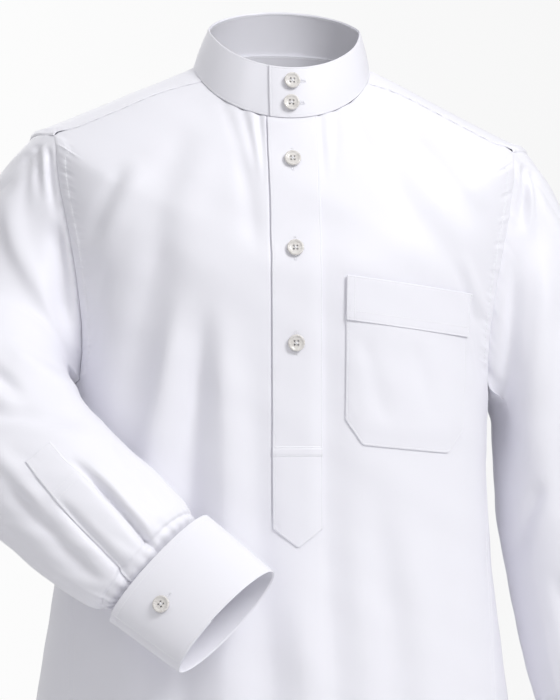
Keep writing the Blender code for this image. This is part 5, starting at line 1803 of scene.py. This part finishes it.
    def vent(self, patch: Patch, arm_place: Array, angles: Array) -> None:
        """Builds the sleeve placket, which runs up the sleeve from the cuff.

        Args:
            patch: The sleeve.
            arm_place: The place of each of its rows.
            angles: The angle of each of its columns.
        """
        across = graded([(-1.0, 0.03), (-0.85, 0.06), (0.0, 0.16), (0.85, 0.06), (1.0, 0.03)])
        last = self.arm.seam - 0.01
        top = self.vent_top + 0.055 * (1 - across)
        way = graded([(0.0, 0.004), (0.03, 0.012), (0.97, 0.012), (1.0, 0.004)])[:, None]
        places = top + (last - top) * way
        sizes = self.arm.track.at(places)
        radius = (np.linalg.norm(sizes[..., 3:6] - sizes[..., :3], axis=-1) / 2 + sizes[..., 6]) / 2 * 0.92
        half = 0.0106 + 0.0018 * smooth((places - self.vent_top) / 1.5)
        turn = self.vent_angle(places) + across * half / radius
        order = np.argsort(angles)
        ring = np.concatenate([angles[order] - 2 * math.pi, angles[order], angles[order] + 2 * math.pi])
        low = np.searchsorted(ring, turn % (2 * math.pi)) - 1
        share = (turn % (2 * math.pi) - ring[low]) / (ring[low + 1] - ring[low])
        ids = np.tile(order, 3)
        row = np.interp(places, arm_place, np.arange(len(arm_place)))
        row_low = np.clip(row.astype(int), 0, len(arm_place) - 2)
        row_share = (row - row_low)[..., None]
        share = share[..., None]

        def sample(grid: Array) -> Array:
            """A grid's values at the placket's points."""
            upper = grid[row_low, ids[low]] * (1 - share) + grid[row_low, ids[low + 1]] * share
            lower = grid[row_low + 1, ids[low]] * (1 - share) + grid[row_low + 1, ids[low + 1]] * share
            return upper * (1 - row_share) + lower * row_share

        points, normals = sample(patch.points), unit(sample(patch.normals))
        # the stiffer strip bridges the small pleats under it
        kernel = np.ones(9) / 9
        smoothed = points.copy()
        for axis in range(3):
            rows_padded = np.pad(points[..., axis], ((4, 4), (0, 0)), mode="reflect", reflect_type="odd")
            smoothed[..., axis] = np.apply_along_axis(lambda line: np.convolve(line, kernel, "valid"), 0, rows_padded)
        lift = np.maximum(np.sum((points - smoothed) * normals, axis=-1).max(axis=1, keepdims=True), 0)
        strip = Patch.facing(smoothed + normals * (lift + LAY + STRIP)[..., None], normals)
        edges = (Edge.FIRST_COLUMN, Edge.LAST_COLUMN, Edge.FIRST_ROW)
        strip = edged(strip, STRIP, dict.fromkeys(edges, 0.0015), 100, 0.00008)
        sewing = self.room.stitching(f"sleeve_placket_{self.side.word}")
        for edge in edges:
            sewing.run(*strip.inset(edge, 0.0015))
        down = arc(strip.points[:, len(across) // 2])
        for distance in (0.034, 0.041):
            row_at = int(np.argmin(np.abs(down - distance)))
            sewing.run(strip.points[row_at], strip.normals[row_at])
        self.room.cloth(f"sleeve_placket_{self.side.word}", strip, STRIP, (0.026, 0.15), Held.STRETCHED,
                        [f"sleeve_{self.side.word}"], sewing)

    def cuff(self) -> None:
        """Builds the cuff and its button."""
        total = 2 * math.pi + self.cuff_lap
        share = graded([(0.0, 0.0015), (0.012, 0.004), (0.06, 0.009), (0.94, 0.009), (0.988, 0.004), (1.0, 0.0015)])[None]
        along = graded([(0.0, 0.006), (0.05, 0.015), (0.5, 0.05), (0.95, 0.015), (1.0, 0.006)])[:, None]
        under = smooth((share * total - 2 * math.pi + 0.35) / 0.35)
        lift = 0.0007 - under * (STIFF + LAY) + 0.0006 * np.sin(math.pi * along)
        points = self.arm.point(self.arm.seam + along, self.lap + share * total, lift)
        centre = self.arm.middle(self.arm.seam + along[:, 0])[:, None]
        patch = Patch.facing(points, points - centre)
        stitches = {edge: 0.0058 if edge is Edge.FIRST_ROW else 0.0018 for edge in Edge}
        patch = edged(patch, STIFF * 0.8, stitches, 110, 0.00008, 0.005, 0.00014, 0.0007)
        inner = Patch(patch.points - patch.normals * STIFF, -patch.normals)
        word = self.side.word
        sewing = self.room.stitching(f"cuff_{word}")
        for edge, inset in ((Edge.FIRST_ROW, 0.0058), (Edge.LAST_ROW, 0.0018), (Edge.FIRST_COLUMN, 0.0018)):
            sewing.run(*patch.inset(edge, inset))
        sewing.run(*inner.inset(Edge.LAST_ROW, 0.0018))
        angle = self.lap + self.button_turn
        place = self.arm.seam + self.button_place
        face = self.arm.point(place, angle, 0.0013)
        ahead = unit(self.arm.point(place, angle + 0.05, 0.0013) - face)
        down = self.arm.along(np.array(place))
        out = unit(np.cross(ahead, down))
        if out @ (face - self.arm.middle(np.array(place))) < 0:
            out = -out
        sewing.buttonhole(face + ahead * 0.0035, ahead, out, 0.016)
        Button(self.room, f"button_cuff_{word}").build(face + out * 0.0009, out, down)
        self.room.cloth(f"cuff_{word}", patch, STIFF, (0.31, 0.075), Held.FOLDED, [f"sleeve_{word}"], sewing)

    def build(self) -> None:
        """Builds the sleeve and what is sewn to it."""
        patch, arm_place, angles = self.surface()
        word = self.side.word
        self.room.cloth(f"sleeve_{word}", patch, WALL, (0.46, 0.6), Held.HUNG, ["front_panel", "back_panel", "yoke"],
                        area=0.23)
        self.vent(patch, arm_place, angles)
        self.cuff()


# ------------------------------------------------------------------------------------------- the studio


@dataclass
class Studio:
    """The pale floor, the soft lights and the camera."""

    target: tuple[float, float, float] = (0.0, 0.0, -0.25)
    distance: float = 2.6
    azimuth: float = math.radians(-5.5)
    lens: float = 150.0
    floor_z: float = -1.5
    below: float = 0.1
    above: float = 0.72
    floor_radius: float = 3.2

    def floor(self) -> None:
        """Builds a round pale floor under the robe."""
        form = bmesh.new()
        rim = [form.verts.new((self.floor_radius * math.cos(turn), self.floor_radius * math.sin(turn), self.floor_z))
               for turn in np.linspace(0, 2 * math.pi, 96, endpoint=False)]
        form.faces.new(rim)
        mesh = bpy.data.meshes.new("studio_floor")
        form.to_mesh(mesh)
        form.free()
        paint, tree, shader = new_material("pale_floor")
        mottle = add_node(tree, "TexNoise", {"Scale": 3.0}).outputs["Fac"]
        colours = {0: mottle, 6: (0.8, 0.8, 0.81, 1), 7: (0.84, 0.84, 0.85, 1)}
        tint = add_node(tree, "Mix", colours, data_type="RGBA").outputs[2]
        feed(tree, shader, {"Base Color": tint, "Roughness": 0.9})
        mesh.materials.append(paint)
        ground = bpy.data.objects.new("studio_floor", mesh)
        bpy.context.scene.collection.objects.link(ground)

    def world(self) -> None:
        """Sets a near-white backdrop and a dimmer soft light from all round."""
        world = bpy.data.worlds.new("studio")
        bpy.context.scene.world = world
        world.use_nodes = True
        tree = world.node_tree
        tree.nodes.clear()
        way = add_node(tree, "TexCoord").outputs["Generated"]
        parts = add_node(tree, "SeparateXYZ", {0: way}).outputs

        def backdrop(axis: int, first: Point2, last: Point2) -> bpy.types.NodeSocket:
            """A white light whose strength runs from one place and value to another along an axis."""
            strength = add_node(tree, "MapRange", {
                "Value": parts[axis], "From Min": first[0], "From Max": last[0], "To Min": first[1], "To Max": last[1],
            }).outputs[0]
            return add_node(tree, "Background", {"Color": (1.0, 1.0, 1.0, 1), "Strength": strength}).outputs[0]

        seen_by = add_node(tree, "LightPath").outputs["Is Camera Ray"]
        fill, seen = backdrop(2, (-0.8, self.below), (0.9, self.above)), backdrop(0, (-0.05, 0.985), (0.2, 0.93))
        mix = add_node(tree, "MixShader", {0: seen_by, 1: fill, 2: seen}).outputs[0]
        add_node(tree, "OutputWorld", {0: mix})

    def light(self, name: str, spot: tuple[float, float, float], size: float, power: float) -> None:
        """Hangs a square soft light that faces the robe's chest.

        Args:
            name: Its name.
            spot: Where it hangs.
            size: The length of its sides.
            power: Its power in watts.
        """
        data = bpy.data.lights.new(name, "AREA")
        data.size, data.energy = size, power
        lamp = bpy.data.objects.new(name, data)
        lamp.location = spot
        aim = Vector((0, 0, -0.35)) - Vector(spot)
        lamp.rotation_euler = aim.to_track_quat("-Z", "Y").to_euler()
        bpy.context.scene.collection.objects.link(lamp)

    def camera(self) -> None:
        """Places the camera in front of the robe and a little to its right."""
        data = bpy.data.cameras.new("camera")
        data.lens, data.sensor_width, data.sensor_fit = self.lens, 36.0, "AUTO"
        data.clip_start, data.clip_end = 0.05, 60.0
        camera = bpy.data.objects.new("camera", data)
        back = Vector((math.sin(self.azimuth), -math.cos(self.azimuth), 0.0))
        camera.location = Vector(self.target) + back * self.distance
        camera.rotation_euler = (-back).to_track_quat("-Z", "Y").to_euler()
        bpy.context.scene.collection.objects.link(camera)
        bpy.context.scene.camera = camera

    def build(self) -> None:
        """Sets up the studio."""
        bpy.context.scene.view_settings.view_transform = "Standard"
        self.floor()
        self.world()
        self.light("key", (1.6, -2.1, 1.75), 1.1, 60.0)
        self.light("fill", (-0.6, -3.2, 0.7), 1.8, 7.0)
        self.light("rear", (-1.2, 2.6, 1.0), 2.0, 20.0)
        self.camera()


def main() -> None:
    """Builds the robe's parts in order, then the studio."""
    logging.basicConfig(level=logging.INFO, format="%(name)s: %(message)s")
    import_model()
    room = Workroom(BodyForm(), CottonFinish().material(), ThreadFinish().material(), ShellFinish().material())
    for part in (Torso(room), FrontPieces(room), Collar(room), Sleeve(room, Side.RIGHT), Sleeve(room, Side.LEFT)):
        part.build()
        LOG.info("%s is done", type(part).__name__)
    Studio().build()


if __name__ == "__main__":
    main()
